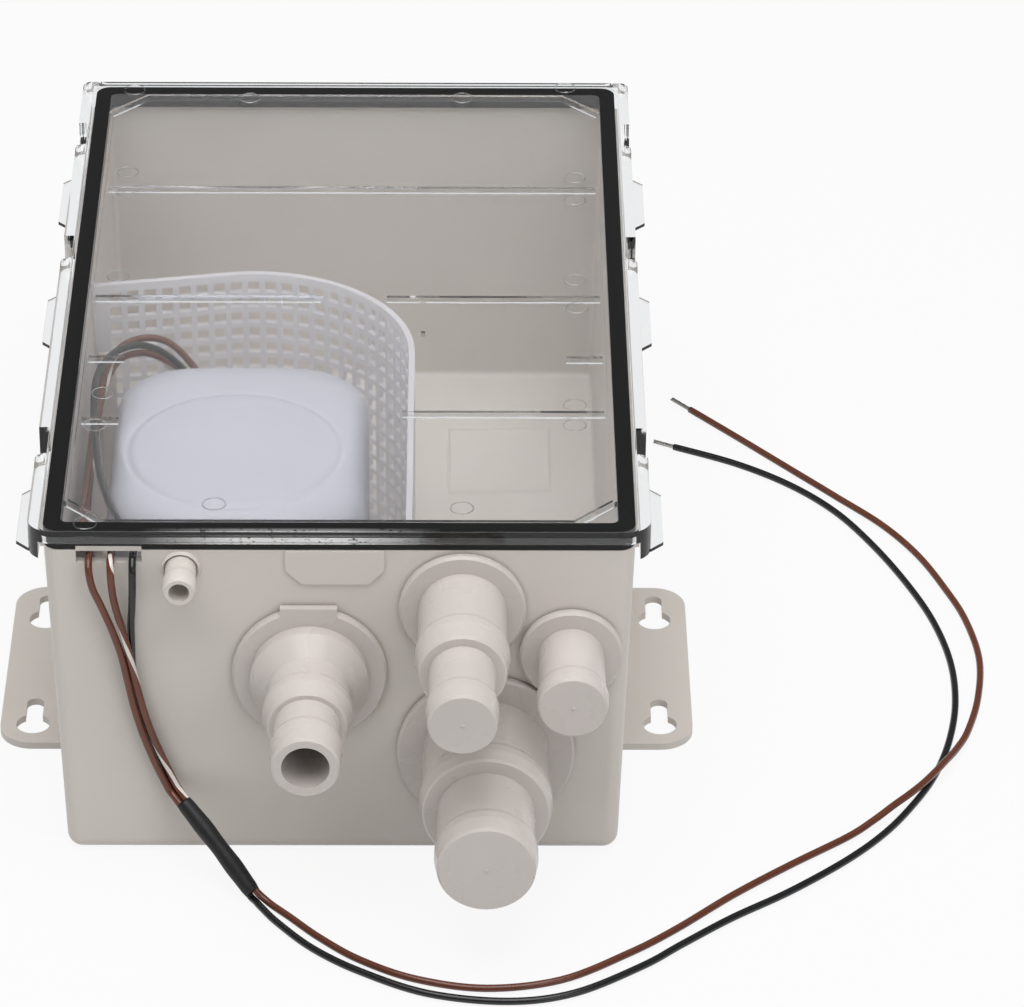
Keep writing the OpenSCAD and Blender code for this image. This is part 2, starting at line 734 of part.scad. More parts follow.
module lid_ribs() {
    edge = frame_w / 2 - rib_t - rib_end_gap;
    rib(-edge, edge, lid_y(rib_back_share));
    rib(-edge, mid_left_end_x, lid_y(rib_middle_share));
    rib(mid_right_start_x, edge, lid_y(rib_middle_share));
    rib(front_rib_start_x, edge, lid_y(rib_front_share));
    rib(-edge, short_rib_l - edge, lid_y(left_rib_share));
    for (side = [0, 1])
        mirror([side, 0, 0])
            rib(edge - short_rib_l, edge, lid_y(short_rib_share));
    translate([hang_x - rib_t, lid_y(rib_middle_share) - hang_l, lid_under - rib_h])
        cube([rib_t, hang_l, rib_h + lid_t / 2]);
}

module lid() {
    color(clear_colour)
        difference() {
            union() {
                translate([0, 0, lid_top - lid_edge_h])
                    linear_extrude(lid_edge_h)
                        lid_outline();
                translate([0, 0, skirt_bottom])
                    linear_extrude(lid_under - skirt_bottom)
                        difference() {
                            skirt_outline();
                            square([lid_w, 2 * lid_l], center = true);
                        }
                finger_tabs();
            }
            // room for the rim and the gasket, less the ribs and the locating frame
            difference() {
                translate([0, 0, skirt_bottom - over])
                    linear_extrude(lid_under - skirt_bottom + over)
                        round_outline(lid_w - 2 * gap, lid_l - 2 * lid_edge_t, corner_r - gap);
                translate([0, 0, lid_under - frame_h])
                    linear_extrude(lid_rise)
                        difference() {
                            cut_corner_outline(frame_w, frame_l, frame_cut);
                            cut_corner_outline(frame_w - 2 * rib_t, frame_l - 2 * rib_t, frame_cut - rib_t / 2);
                        }
                lid_ribs();
            }
        }
}

module lid_gasket() {
    color(rubber_colour)
        difference() {
            translate([0, 0, gasket_bottom])
                linear_extrude(gasket_h)
                    difference() {
                        round_outline(box_w, box_l, corner_r);
                        round_outline(box_w - 2 * gasket_w, box_l - 2 * gasket_w, corner_r - gasket_w / 2);
                    }
            // relief over the bridge of the slot for the leads
            translate([slot_x - slot_w / 2 - gap, front_y - over, gasket_bottom - over])
                cube([slot_w + 2 * gap, gasket_w + 2 * over, over + box_h - gasket_bottom + bridge_t + gap]);
        }
}

// The strainer: straight to the back, round the bend, then to the left wall
module strainer_screen() {
    screen_h = strainer_top - strainer_bottom;
    color(screen_colour)
        difference() {
            translate([0, 0, strainer_bottom]) {
                translate([strainer_x - strainer_t, strainer_front_y, 0])
                    cube([strainer_t, bend_y - strainer_front_y, screen_h]);
                translate([bend_x, bend_y, 0])
                    rotate_extrude(angle = strainer_turn, $fn = turned_fn)
                        translate([strainer_r - strainer_t, 0])
                            square([strainer_t, screen_h]);
                translate([bend_end[0], bend_end[1], 0])
                    rotate([0, 0, strainer_turn - 90])
                        translate([-left_run, -strainer_t, 0])
                            cube([left_run, strainer_t, screen_h]);
            }
            // the left end follows the leaning wall, and both lower corners are notched
            translate([-inner_side_at(strainer_bottom) + gap, 0, strainer_bottom])
                rotate([0, -draft, 0])
                    translate([-box_w, 0, -over])
                        cube([box_w, box_l, box_h]);
            translate([-inner_side_at(strainer_bottom) - over, 0, strainer_bottom - over])
                cube([corner_notch + over, box_l, corner_notch + over]);
            translate([0, strainer_front_y - over, strainer_bottom - over])
                cube([box_w, corner_notch + over, corner_notch + over]);
            mesh_holes();
        }
}

module mesh_holes() {
    bend_step = mesh_pitch / (strainer_r * PI / 180);
    for (row = [0 : mesh_rows - 1])
        translate([0, 0, strainer_top - top_band - mesh_hole - row * mesh_pitch]) {
            for (column = [0 : bend_columns - 1])
                translate([bend_x, bend_y, 0])
                    rotate([0, 0, strainer_turn - (column + 0.5) * bend_step])
                        translate([strainer_r - 2 * strainer_t, -mesh_hole / 2, 0])
                            cube([3 * strainer_t, mesh_hole, mesh_hole]);
            for (column = [0 : left_columns - 1])
                translate([bend_end[0], bend_end[1], 0])
                    rotate([0, 0, strainer_turn - 90])
                        translate([-(column + 0.5) * mesh_pitch - mesh_hole / 2, -2 * strainer_t, 0])
                            cube([mesh_hole, 3 * strainer_t, mesh_hole]);
        }
}

// Outline of a stepped hose barb from height z0, as points [radius, height]
function step_z(steps, i, z0) = i == 0 ? z0 : step_z(steps, i - 1, z0) + steps[i - 1][3];
function barb_outline(steps, z0) = [for (i = [0 : len(steps) - 1])
    let (s = steps[i], z = step_z(steps, i, z0), end = z + s[3], crest = end - s[4])
    each [[s[0], z], [s[0], crest - crest_l - crest_rise_l], [s[1], crest - crest_l], [s[1], crest],
        [s[2], end - face_round], [s[2] - face_round, end]]];

// Outline of the plug end that snaps through the wall, from the axis to the washer's face
function spigot_outline(r) =
    let (back = -wall_t - spigot_past)
    [[0, back], [r, back], [r + bead_out, back + bead_l / 2], [r + bead_out, back + bead_l],
        [r, back + bead_l + bead_out], [r, washer_t]];
function flange_outline(r) = [[r, washer_t], [r, washer_t + flange_t - flange_round],
    [r - flange_round, washer_t + flange_t]];

// A closed inlet: its bore stops short of the end, which is cut open for the hose size in use
module closed_inlet(flange_r, bores, steps) {
    foot = washer_t + flange_t;
    back = -wall_t - spigot_past;
    difference() {
        turned(concat(spigot_outline(spigot_r(bores[0])), flange_outline(flange_r), barb_outline(steps, foot),
            [[0, step_z(steps, len(steps), foot)]]));
        for (i = [0 : len(bores) - 1])
            translate([0, 0, back - over])
                cylinder(step_z(steps, i + 1, foot) - cap_t - back + over, r = bores[i], $fn = turned_fn);
    }
}

module washer(flange_r, bore) {
    hollow_cylinder(washer_t, flange_r - washer_in, spigot_r(bore) + snug);
}

module large_inlet() {
    color(box_colour)
        on_front(large_x, large_z)
            closed_inlet(large_flange_r, large_bores, large_steps);
}

module large_inlet_washer() {
    color(rubber_colour)
        on_front(large_x, large_z)
            washer(large_flange_r, large_bores[0]);
}

module medium_inlet() {
    color(box_colour)
        on_front(medium_x, medium_z)
            closed_inlet(medium_flange_r, medium_bores, medium_steps);
}

module medium_inlet_washer() {
    color(rubber_colour)
        on_front(medium_x, medium_z)
            washer(medium_flange_r, medium_bores[0]);
}

module small_inlet() {
    color(box_colour)
        on_front(small_x, small_z)
            closed_inlet(small_flange_r, [small_bore], small_steps);
}

module small_inlet_washer() {
    color(rubber_colour)
        on_front(small_x, small_z)
            washer(small_flange_r, small_bore);
}

// The discharge: a valve chamber behind two hose steps
module discharge_fitting() {
    foot = washer_t + flange_t;
    barb_foot = foot + boss_l + shoulder_l;
    end = step_z(discharge_steps, len(discharge_steps), barb_foot);
    chamber_back = front_y - elbow_wall_y - gap;
    bore_r = discharge_bore_d / 2;
    color(box_colour)
        on_front(discharge_x, discharge_z)
            difference() {
                union() {
                    turned(concat(spigot_outline(spigot_r(valve_r)), flange_outline(discharge_flange_r),
                        [[boss_r, foot], [boss_r, foot + boss_l]], barb_outline(discharge_steps, barb_foot),
                        [[0, end]]));
                    // flat key at the top of the flange
                    translate([-key_w / 2, boss_r, washer_t])
                        cube([key_w, discharge_flange_r - boss_r + key_rise, flange_t]);
                }
                translate([0, 0, -wall_t - spigot_past - over])
                    cylinder(wall_t + spigot_past + chamber_back + 2 * over, r = elbow_r + snug, $fn = turned_fn);
                translate([0, 0, chamber_back])
                    cylinder(valve_l, r = valve_r, $fn = turned_fn);
                turned([[0, chamber_back + valve_l - over], [valve_r, chamber_back + valve_l - over],
                    [valve_r, chamber_back + valve_l], [bore_r, chamber_back + valve_l + valve_cone_l],
                    [bore_r, end + over], [0, end + over]]);
                translate([0, flap_hinge_up, front_y - flap_pin_y])
                    rotate([0, 90, 0])
                        cylinder(flap_pin_l + 2 * gap, r = flap_pin_r + run, center = true, $fn = turned_fn);
            }
}

module discharge_washer() {
    color(rubber_colour)
        on_front(discharge_x, discharge_z)
            washer(discharge_flange_r, valve_r);
}

// Pipe along Y and then along Z, with a round corner
module pipe_bend(r, y_from, y_to, z_from, z_to) {
    translate([0, min(y_from, y_to), z_from])
        rotate([-90, 0, 0])
            cylinder(abs(y_to - y_from), r = r, $fn = turned_fn);
    translate([0, y_to, z_from])
        sphere(r, $fn = turned_fn);
    translate([0, y_to, min(z_from, z_to)])
        cylinder(abs(z_to - z_from), r = r, $fn = turned_fn);
}

module discharge_elbow() {
    low = discharge_z - elbow_drop;
    color(box_colour)
        translate([discharge_x, 0, 0])
            difference() {
                pipe_bend(elbow_r, elbow_wall_y, hose_y, discharge_z, low);
                pipe_bend(elbow_bore_r, elbow_wall_y - over, hose_y, discharge_z, low - over);
            }
}

module check_flap() {
    color(rubber_colour)
        on_front(discharge_x, discharge_z)
            translate([0, 0, front_y - flap_back_y])
                difference() {
                    union() {
                        cylinder(flap_t, r = flap_r, $fn = turned_fn);
                        translate([-flap_loop_w / 2, 0, 0])
                            cube([flap_loop_w, flap_hinge_up, flap_t]);
                        translate([0, flap_hinge_up, flap_t / 2])
                            rotate([0, 90, 0])
                                cylinder(flap_loop_w, r = flap_loop_r, center = true, $fn = turned_fn);
                    }
                    translate([0, flap_hinge_up, flap_t / 2])
                        rotate([0, 90, 0])
                            cylinder(flap_loop_w + 2 * over, r = flap_pin_r + run, center = true, $fn = turned_fn);
                }
}

module flap_pin() {
    color(steel_colour)
        translate([discharge_x, flap_pin_y, discharge_z + flap_hinge_up])
            rotate([0, 90, 0])
                cylinder(flap_pin_l, r = flap_pin_r, center = true, $fn = turned_fn);
}

// Plan of the pump, drawn in by a given amount
module pump_plan(less) {
    translate([pump_x, plan_y])
        round_outline(pump_w - 2 * less, pump_l - 2 * less, pump_corner_r - less);
}

// The foot: a slotted basket that keeps hair out of the inlet, held by two screws
module pump_base() {
    inner = base_in + base_wall;
    slots = floor((pump_l - 2 * pump_corner_r) / base_slot_pitch);
    color(dark_colour)
        difference() {
            translate([0, 0, floor_t]) {
                linear_extrude(base_h)
                    difference() {
                        pump_plan(base_in);
                        pump_plan(inner);
                    }
                linear_extrude(base_t)
                    pump_plan(base_in);
                for (place = screw_places())
                    translate([place[0], place[1], 0])
                        cylinder(screw_boss_h + base_t, r = screw_boss_r + snug + base_wall, $fn = turned_fn);
                // clips that hold the pump, one on each side
                for (side = [-1, 1])
                    translate([pump_x, plan_y, base_t])
                        mirror([side < 0 ? 1 : 0, 0, 0]) {
                            translate([pump_w / 2 + snug, -clip_w / 2, 0])
                                cube([clip_t, clip_w, clip_h]);
                            translate([pump_w / 2 - inner, -clip_w / 2, 0])
                                cube([inner + snug + clip_t, clip_w, base_t]);
                        }
            }
            for (i = [0 : slots - 1])
                translate([pump_x - pump_w, plan_y + (i - (slots - 1) / 2) * base_slot_pitch - base_slot_w / 2,
                    floor_t + 2 * base_t])
                    difference() {
                        cube([2 * pump_w, base_slot_w, base_h - 3 * base_t]);
                        translate([pump_w / 2 + inner, -over, -over])
                            cube([pump_w - 2 * inner, base_slot_w + 2 * over, base_h]);
                    }
            for (place = screw_places())
                translate([place[0], place[1], floor_t - over]) {
                    cylinder(screw_boss_h + over, r = screw_boss_r + snug, $fn = turned_fn);
                    cylinder(base_h, r = screw_r + snug, $fn = turned_fn);
                }
        }
}

// Two screws that hold the foot to the bosses of the floor
module base_screws() {
    color(steel_colour)
        for (place = screw_places())
            translate([place[0], place[1], floor_t + screw_boss_h + base_t])
                difference() {
                    union() {
                        cylinder(screw_head_h, r = screw_head_r, $fn = turned_fn);
                        translate([0, 0, gap - base_t - screw_bite])
                            cylinder(base_t + screw_bite, r = screw_r, $fn = turned_fn);
                    }
                    translate([0, 0, screw_head_h / 2])
                        for (turn = [0, 90])
                            rotate([0, 0, turn])
                                translate([-screw_r, -screw_r / 4, 0])
                                    cube([2 * screw_r, screw_r / 2, screw_head_h]);
                }
}

// Plate under the impeller, with the eye that the water enters by
module inlet_plate() {
    color(pump_colour)
        translate([0, 0, plate_bottom])
            linear_extrude(plate_t)
                difference() {
                    pump_plan(0);
                    translate([pump_x, pump_y])
                        circle(eye_r, $fn = turned_fn);
                    float_inlet();
                }
}

// Slot that lets the water rise to the float
module float_inlet() {
    translate([pump_x - float_l / 2, divider_y + divider_t + float_room / 4])
        square([float_l, float_room / 2]);
}

// Spiral chamber that widens towards the outlet on the right
function spiral_points(more) = [for (i = [0 : spiral_steps])
    let (a = 360 * i / spiral_steps, r = more + spiral_start_r + (spiral_end_r - spiral_start_r) * i / spiral_steps)
    [r * cos(a), -r * sin(a)]];

// The pump case: top plate, outer wall, spiral wall, outlet pipe and the motor's collar
module pump_volute() {
    stub_top = hose_bottom + hose_grip;
    color(pump_colour)
        difference() {
            union() {
                translate([0, 0, volute_bottom + chamber_h])
                    linear_extrude(plate_t)
                        pump_plan(0);
                translate([0, 0, volute_bottom])
                    linear_extrude(volute_h)
                        difference() {
                            pump_plan(0);
                            pump_plan(shell_t);
                        }
                // lip that locates the housing
                translate([0, 0, volute_top - plate_t / 2])
                    linear_extrude(lip_h + plate_t / 2)
                        difference() {
                            pump_plan(shell_t + snug);
                            pump_plan(shell_t + snug + lip_t);
                        }
                translate([pump_x, pump_y, volute_bottom])
                    linear_extrude(volute_h - plate_t / 2)
                        polygon(spiral_points(spiral_wall));
                translate([pump_x, pump_y, volute_top - plate_t / 2])
                    cylinder(motor_bottom - volute_top + collar_up + plate_t / 2, r = motor_r + collar_t, $fn = turned_fn);
                translate([discharge_x, 0, 0])
                    pipe_bend(elbow_r, pump_y, hose_y, outlet_z, stub_top);
            }
            translate([pump_x, pump_y, volute_bottom - over])
                linear_extrude(chamber_h + over)
                    polygon(spiral_points(0));
            translate([discharge_x, 0, 0])
                pipe_bend(elbow_bore_r, pump_y, hose_y, outlet_z, stub_top + over);
            // seat of the shaft seal, then the motor's pocket with its ledge
            translate([pump_x, pump_y, volute_bottom])
                cylinder(volute_h + over, r = seal_r + snug, $fn = turned_fn);
            translate([pump_x, pump_y, volute_top])
                cylinder(motor_bottom, r = motor_r - ledge_in, $fn = turned_fn);
            translate([pump_x, pump_y, motor_bottom])
                cylinder(motor_l, r = motor_r + snug, $fn = turned_fn);
            translate([0, 0, volute_bottom + chamber_h - over])
                linear_extrude(plate_t + 2 * over)
                    float_inlet();
        }
}

// Soft-topped block of the pump, drawn in by a given amount
module pump_block(less, low) {
    corner = pump_corner_r - less;
    soft = pump_soft_r - less;
    hull() {
        for (x = [-1, 1]) for (y = [-1, 1])
            translate([pump_x + x * (pump_w / 2 - pump_corner_r), plan_y + y * (pump_l / 2 - pump_corner_r), 0]) {
                translate([0, 0, pump_top - shoulder_drop - less - soft])
                    rotate_extrude($fn = soft_fn)
                        translate([corner - soft, 0])
                            intersection() {
                                circle(soft, $fn = soft_fn);
                                square([soft, soft]);
                            }
                translate([0, 0, low])
                    cylinder(over, corner, corner, $fn = soft_fn);
            }
        translate([pump_x, pump_y, pump_top - less - over])
            cylinder(over, plateau_r - less, plateau_r - less, $fn = 2 * soft_fn);
    }
}

module pump_housing() {
    color(pump_colour)
        difference() {
            union() {
                difference() {
                    union() {
                        pump_block(0, volute_top);
                        translate([pump_x, pump_y, pump_top - over])
                            cylinder(over + plateau_h, r = plateau_r - plateau_h, $fn = turned_fn);
                    }
                    pump_block(shell_t, volute_top - over);
                }
                // wall between the motor and the float
                intersection() {
                    pump_block(shell_t / 2, volute_top - over);
                    translate([pump_x - pump_w / 2, divider_y - divider_t, volute_top + lip_h + gap])
                        cube([pump_w, divider_t, pump_top]);
                }
            }
            translate([grommet_x, pump_back + over, grommet_z])
                rotate([90, 0, 0])
                    cylinder(shell_t + 2 * over, r = grommet_neck_r + snug, $fn = turned_fn);
            // seats of the float's pin, in the wall and in the back
            translate([float_pin_x, divider_y - float_pin_seat, float_pin_z])
                rotate([-90, 0, 0])
                    cylinder(float_room + 2 * float_pin_seat, r = float_pin_r, $fn = turned_fn);
        }
}

// Impeller: a disc with swept vanes underneath
module impeller() {
    color(impeller_colour)
        translate([pump_x, pump_y, impeller_bottom])
            difference() {
                union() {
                    translate([0, 0, impeller_vane_h])
                        cylinder(impeller_disc_t, r = impeller_r, $fn = turned_fn);
                    cylinder(hub_h, r = hub_r, $fn = turned_fn);
                    for (i = [0 : vanes - 1])
                        rotate([0, 0, 360 * i / vanes])
                            vane();
                }
                translate([0, 0, -over])
                    cylinder(hub_h + 2 * over, r = shaft_r, $fn = turned_fn);
            }
}

// One swept vane: part of a round wall
module vane() {
    out = vane_r * vane_out_share;
    intersection() {
        translate([out, out, 0])
            hollow_cylinder(impeller_vane_h + impeller_disc_t / 2, vane_r, vane_r - vane_t);
        cylinder(impeller_vane_h + impeller_disc_t, r = impeller_r - vane_in, $fn = turned_fn);
        translate([0, -impeller_r, 0])
            cube([impeller_r, impeller_r + out, impeller_vane_h + impeller_disc_t]);
    }
}

module motor_shaft() {
    color(steel_colour)
        translate([pump_x, pump_y, impeller_bottom])
            cylinder(motor_top + end_cap_t - gap - impeller_bottom, r = shaft_r, $fn = turned_fn);
}

// Rotor: slotted core, windings at both ends, and the commutator
module motor_rotor() {
    color(copper_colour)
        translate([pump_x, pump_y, motor_bottom + rotor_up])
            difference() {
                union() {
                    cylinder(rotor_l, r = rotor_r, $fn = turned_fn);
                    translate([0, 0, -over])
                        cylinder(rotor_l + 2 * over, r = rotor_r * winding_share, $fn = turned_fn);
                    cylinder(rotor_l + over + commutator_l, r = commutator_r, $fn = turned_fn);
                }
                for (i = [0 : rotor_slots - 1])
                    rotate([0, 0, 360 * i / rotor_slots])
                        translate([rotor_r * winding_share, -rotor_slot_w / 2, -2 * over])
                            cube([rotor_r, rotor_slot_w, rotor_l + 4 * over]);
                translate([0, 0, -2 * over])
                    cylinder(rotor_l + commutator_l + 4 * over, r = shaft_r, $fn = turned_fn);
            }
}

module motor_can() {
    color(steel_colour)
        translate([pump_x, pump_y, motor_bottom])
            difference() {
                cylinder(motor_l, r = motor_r, $fn = turned_fn);
                translate([0, 0, can_t])
                    cylinder(motor_l, r = motor_r - can_t, $fn = turned_fn);
                translate([0, 0, -over])
                    cylinder(can_t + 2 * over, r = bush_r, $fn = turned_fn);
            }
}

module motor_magnets() {
    outer = motor_r - can_t;
    color(dark_colour)
        translate([pump_x, pump_y, motor_bottom + rotor_up - over])
            for (side = [0, 180])
                rotate([0, 0, side - magnet_span / 2])
                    rotate_extrude(angle = magnet_span, $fn = turned_fn)
                        translate([outer - magnet_t, 0])
                            square([magnet_t, rotor_l + 2 * over]);
}

// End cap: carries the upper bush and the two brush holders
module motor_end_cap() {
    holder_w = brush_w + 2 * brush_wall;
    brush_z = motor_bottom + rotor_up + rotor_l + over + commutator_l / 2;
    color(pump_colour)
        difference() {
            translate([pump_x, pump_y, motor_top]) {
                cylinder(end_cap_t, r = motor_r, $fn = turned_fn);
                translate([0, 0, -bush_h])
                    cylinder(bush_h + end_cap_t / 2, r = bush_r + can_t, $fn = turned_fn);
                for (side = [0, 180])
                    rotate([0, 0, side])
                        translate([commutator_r + 2 * brush_wall, -holder_w / 2, brush_z - holder_w / 2 - motor_top])
                            cube([brush_l, holder_w, motor_top - brush_z + holder_w / 2 + end_cap_t / 2]);
            }
            translate([pump_x, pump_y, motor_top - bush_h - over])
                cylinder(bush_h + over, r = bush_r, $fn = turned_fn);
            translate([pump_x, pump_y, motor_top - over])
                cylinder(end_cap_t + 2 * over, r = shaft_r + run, $fn = turned_fn);
            translate([pump_x, pump_y, brush_z])
                cube([2 * motor_r, brush_w, brush_w], center = true);
        }
}

module motor_brushes() {
    brush_z = motor_bottom + rotor_up + rotor_l + over + commutator_l / 2;
    color(dark_colour)
        translate([pump_x, pump_y, brush_z])
            for (side = [0, 180])
                rotate([0, 0, side])
                    translate([commutator_r + run, -brush_w / 2, -brush_w / 2])
                        cube([brush_l, brush_w, brush_w]);
}

module bush(z) {
    color(copper_colour)
        translate([pump_x, pump_y, z])
            hollow_cylinder(bush_h, bush_r, shaft_r + run);
}

module lower_bush() {
    bush(motor_bottom);
}

module upper_bush() {
    bush(motor_top - bush_h);
}

module shaft_seal() {
    color(rubber_colour)
        translate([pump_x, pump_y, volute_bottom + chamber_h])
            hollow_cylinder(plate_t + seal_h, seal_r, shaft_r + run);
}

module pump_float() {
    color(float_colour)
        difference() {
            union() {
                translate([float_pin_x + float_arm, float_y, float_pin_z - float_h / 2])
                    cube([float_l, float_t, float_h]);
                translate([float_pin_x, float_y, float_pin_z])
                    rotate([-90, 0, 0])
                        cylinder(float_t, r = float_hub_r, $fn = turned_fn);
                translate([float_pin_x, float_y, float_pin_z - float_hub_r])
                    cube([float_arm + over, float_t, 2 * float_hub_r]);
            }
            translate([float_pin_x, float_y - over, float_pin_z])
                rotate([-90, 0, 0])
                    cylinder(float_t + 2 * over, r = float_pin_r + run, $fn = turned_fn);
        }
}

module float_pin() {
    color(steel_colour)
        translate([float_pin_x, divider_y - float_pin_seat, float_pin_z])
            rotate([-90, 0, 0])
                cylinder(float_room + 2 * float_pin_seat, r = float_pin_r, $fn = turned_fn);
}

module float_switch() {
    color(dark_colour)
        translate([float_pin_x - float_hub_r, divider_y, float_pin_z + switch_up])
            cube([switch_w, switch_l, switch_h]);
}

module lead_grommet() {
    color(rubber_colour)
        translate([grommet_x, pump_back - shell_t, grommet_z])
            rotate([-90, 0, 0]) {
                cylinder(shell_t + over, r = grommet_neck_r, $fn = turned_fn);
                translate([0, 0, shell_t])
                    cylinder(grommet_head, r = grommet_r, $fn = turned_fn);
            }
}

module outlet_hose() {
    color(dark_colour)
        translate([discharge_x, hose_y, hose_bottom])
            hollow_cylinder(hose_top - hose_bottom, elbow_r + hose_wall, elbow_r);
}

module hose_clamps() {
    inner = elbow_r + hose_wall;
    color(steel_colour)
        for (z = [hose_bottom + over, hose_top - over - clamp_w])
            translate([discharge_x, hose_y, z])
                difference() {
                    union() {
                        cylinder(clamp_w, r = inner + clamp_t, $fn = turned_fn);
                        translate([inner, -clamp_ear, 0])
                            cube([clamp_ear, 2 * clamp_ear, clamp_w]);
                    }
                    translate([0, 0, -over])
                        cylinder(clamp_w + 2 * over, r = inner, $fn = turned_fn);
                    translate([0, -clamp_t / 2, -over])
                        cube([inner + 2 * clamp_ear, clamp_t, clamp_w + 2 * over]);
                }
}

module brown_lead_inside() {
    color(brown_colour)
        tube(brown_inside_route, wire_d / 2, inside_rings, wire_sides);
}

module striped_lead_inside() {
    color(brown_colour)
        tube(striped_inside_route, wire_d / 2, inside_rings, wire_sides);
}

module black_lead_inside() {
    color(rubber_colour)
        tube(black_inside_route, wire_d / 2, inside_rings, wire_sides);
}

module brown_lead() {
    color(brown_colour)
        tube(brown_route, wire_d / 2, lead_rings, wire_sides);
}

module striped_lead() {
    color(brown_colour)
        tube(striped_route, wire_d / 2, lead_rings, wire_sides);
}

module black_lead() {
    color(rubber_colour)
        tube(black_route, wire_d / 2, lead_rings, wire_sides);
}

module splice_sleeve() {
    color(rubber_colour)
        tube([sleeve_from, sleeve_to], sleeve_d / 2, sleeve_rings, sleeve_sides);
}

module brown_supply_wire() {
    color(brown_colour)
        tube(brown_supply_route, wire_d / 2, supply_rings, wire_sides);
}

module black_supply_wire() {
    color(rubber_colour)
        tube(black_supply_route, wire_d / 2, supply_rings, wire_sides);
}

module brown_wire_end() {
    color(steel_colour)
        tube([ahead(brown_supply_route, 0), ahead(brown_supply_route, brown_tip_l)], tip_d / 2, 1, wire_sides);
}

module black_wire_end() {
    color(steel_colour)
        tube([ahead(black_supply_route, 0), ahead(black_supply_route, black_tip_l)], tip_d / 2, 1, wire_sides);
}

sump_box();
lid();
lid_gasket();
strainer_screen();
large_inlet();
large_inlet_washer();
medium_inlet();
medium_inlet_washer();
small_inlet();
small_inlet_washer();
discharge_fitting();
discharge_washer();
discharge_elbow();
check_flap();
flap_pin();
pump_base();
base_screws();
inlet_plate();
pump_volute();
pump_housing();
impeller();
motor_shaft();
motor_rotor();
motor_can();
motor_magnets();
motor_end_cap();
motor_brushes();
lower_bush();
upper_bush();
shaft_seal();
pump_float();
float_pin();
float_switch();
lead_grommet();
outlet_hose();
hose_clamps();
brown_lead_inside();
striped_lead_inside();
black_lead_inside();
brown_lead();
striped_lead();
black_lead();
splice_sleeve();
brown_supply_wire();
black_supply_wire();
brown_wire_end();
black_wire_end();
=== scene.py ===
# %% [markdown]
# # A shower sump pump, dressed in Blender
# This box stands in the bilge of a boat and collects the water of a shower. Hoses bring the water
# to the stepped barbs on its front, a curved mesh keeps hair away from the pump, and the pump
# lifts the water out through the open barb. The CAD model gives every rigid piece its size, so
# Blender adds what CAD leaves out: finishes, the leads as smooth tubes along their routes, the
# soft dome of the pump, and the marks that moulding leaves on plastic.

import bpy
import numpy as np
from mathutils import Matrix, Vector


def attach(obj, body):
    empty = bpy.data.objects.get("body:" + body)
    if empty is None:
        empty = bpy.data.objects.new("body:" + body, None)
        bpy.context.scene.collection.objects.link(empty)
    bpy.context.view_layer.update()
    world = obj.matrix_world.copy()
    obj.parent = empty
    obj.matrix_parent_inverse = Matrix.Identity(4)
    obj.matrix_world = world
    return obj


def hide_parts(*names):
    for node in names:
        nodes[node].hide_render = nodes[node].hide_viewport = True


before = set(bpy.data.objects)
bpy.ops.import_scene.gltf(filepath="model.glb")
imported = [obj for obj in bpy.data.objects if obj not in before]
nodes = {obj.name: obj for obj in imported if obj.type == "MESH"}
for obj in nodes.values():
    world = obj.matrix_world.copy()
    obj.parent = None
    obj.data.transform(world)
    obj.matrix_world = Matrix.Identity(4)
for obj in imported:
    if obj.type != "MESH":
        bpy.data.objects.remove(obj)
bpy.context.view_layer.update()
MM = 0.001

# %% [markdown]
# ## The camera
# A product photo like this one is taken from far away with a long lens, which keeps upright edges
# nearly parallel. The camera stands 1.9 m away, looks down by 31.7 degrees, and is turned and
# tilted by less than a degree, so its three directions are worked out from those angles.

# %% Camera
IMAGE_W, IMAGE_H = 1024, 1007
FOCAL_PX = 5397.0
SENSOR_MM = 36.0
SEES_TO_M = 20.0
CAMERA_AT = np.array([37.1, -1575.0, 1012.7]) * MM
YAW, PITCH, ROLL = np.radians([0.6695, 31.707, -0.474])

forward = np.array([np.sin(YAW) * np.cos(PITCH), np.cos(YAW) * np.cos(PITCH), -np.sin(PITCH)])
level_right = np.array([np.cos(YAW), -np.sin(YAW), 0.0])
level_down = np.cross(forward, level_right)
right = np.cos(ROLL) * level_right + np.sin(ROLL) * level_down
down = np.cos(ROLL) * level_down - np.sin(ROLL) * level_right

camera_data = bpy.data.cameras.new("camera")
camera_data.sensor_width = SENSOR_MM
camera_data.lens = FOCAL_PX * SENSOR_MM / IMAGE_W
camera_data.clip_end = SEES_TO_M
camera = bpy.data.objects.new("camera", camera_data)
bpy.context.scene.collection.objects.link(camera)
turn = np.eye(4)
turn[:3, :] = np.column_stack([right, -down, -forward, CAMERA_AT])
camera.matrix_world = Matrix(turn.tolist())
bpy.context.scene.camera = camera
bpy.context.scene.view_settings.view_transform = "Standard"
print("lens:", round(camera_data.lens, 1), "mm")

# %% [markdown]
# ## Surfaces from arrays
# Every new piece is a grid of points that numpy works out in one go: rows run along the piece
# and columns go round it. The faces join neighbours on that grid, and the UV map counts the
# distance along and the share of a turn round, which the stripe of a lead follows.

# %% Grids and pieces
def grid_faces(rows, cols, closed):
    """Quads between neighbours of a rows by cols grid; closed joins the last column to the first."""
    r, c = np.meshgrid(np.arange(rows - 1), np.arange(cols if closed else cols - 1), indexing="ij")
    n = (c + 1) % cols
    quads = [r * cols + c, r * cols + n, (r + 1) * cols + n, (r + 1) * cols + c]
    return np.stack(quads, -1).reshape(-1, 4)


def grid_uv(along, cols):
    """UV of each quad's corners on a closed grid: u is the share of a turn, v the metres along."""
    r, c = np.meshgrid(np.arange(len(along) - 1), np.arange(cols), indexing="ij")
    u = np.stack([c, c + 1, c + 1, c], -1) / cols
    v = np.stack([along[r], along[r], along[r + 1], along[r + 1]], -1)
    return np.stack([u, v], -1).reshape(-1, 2)


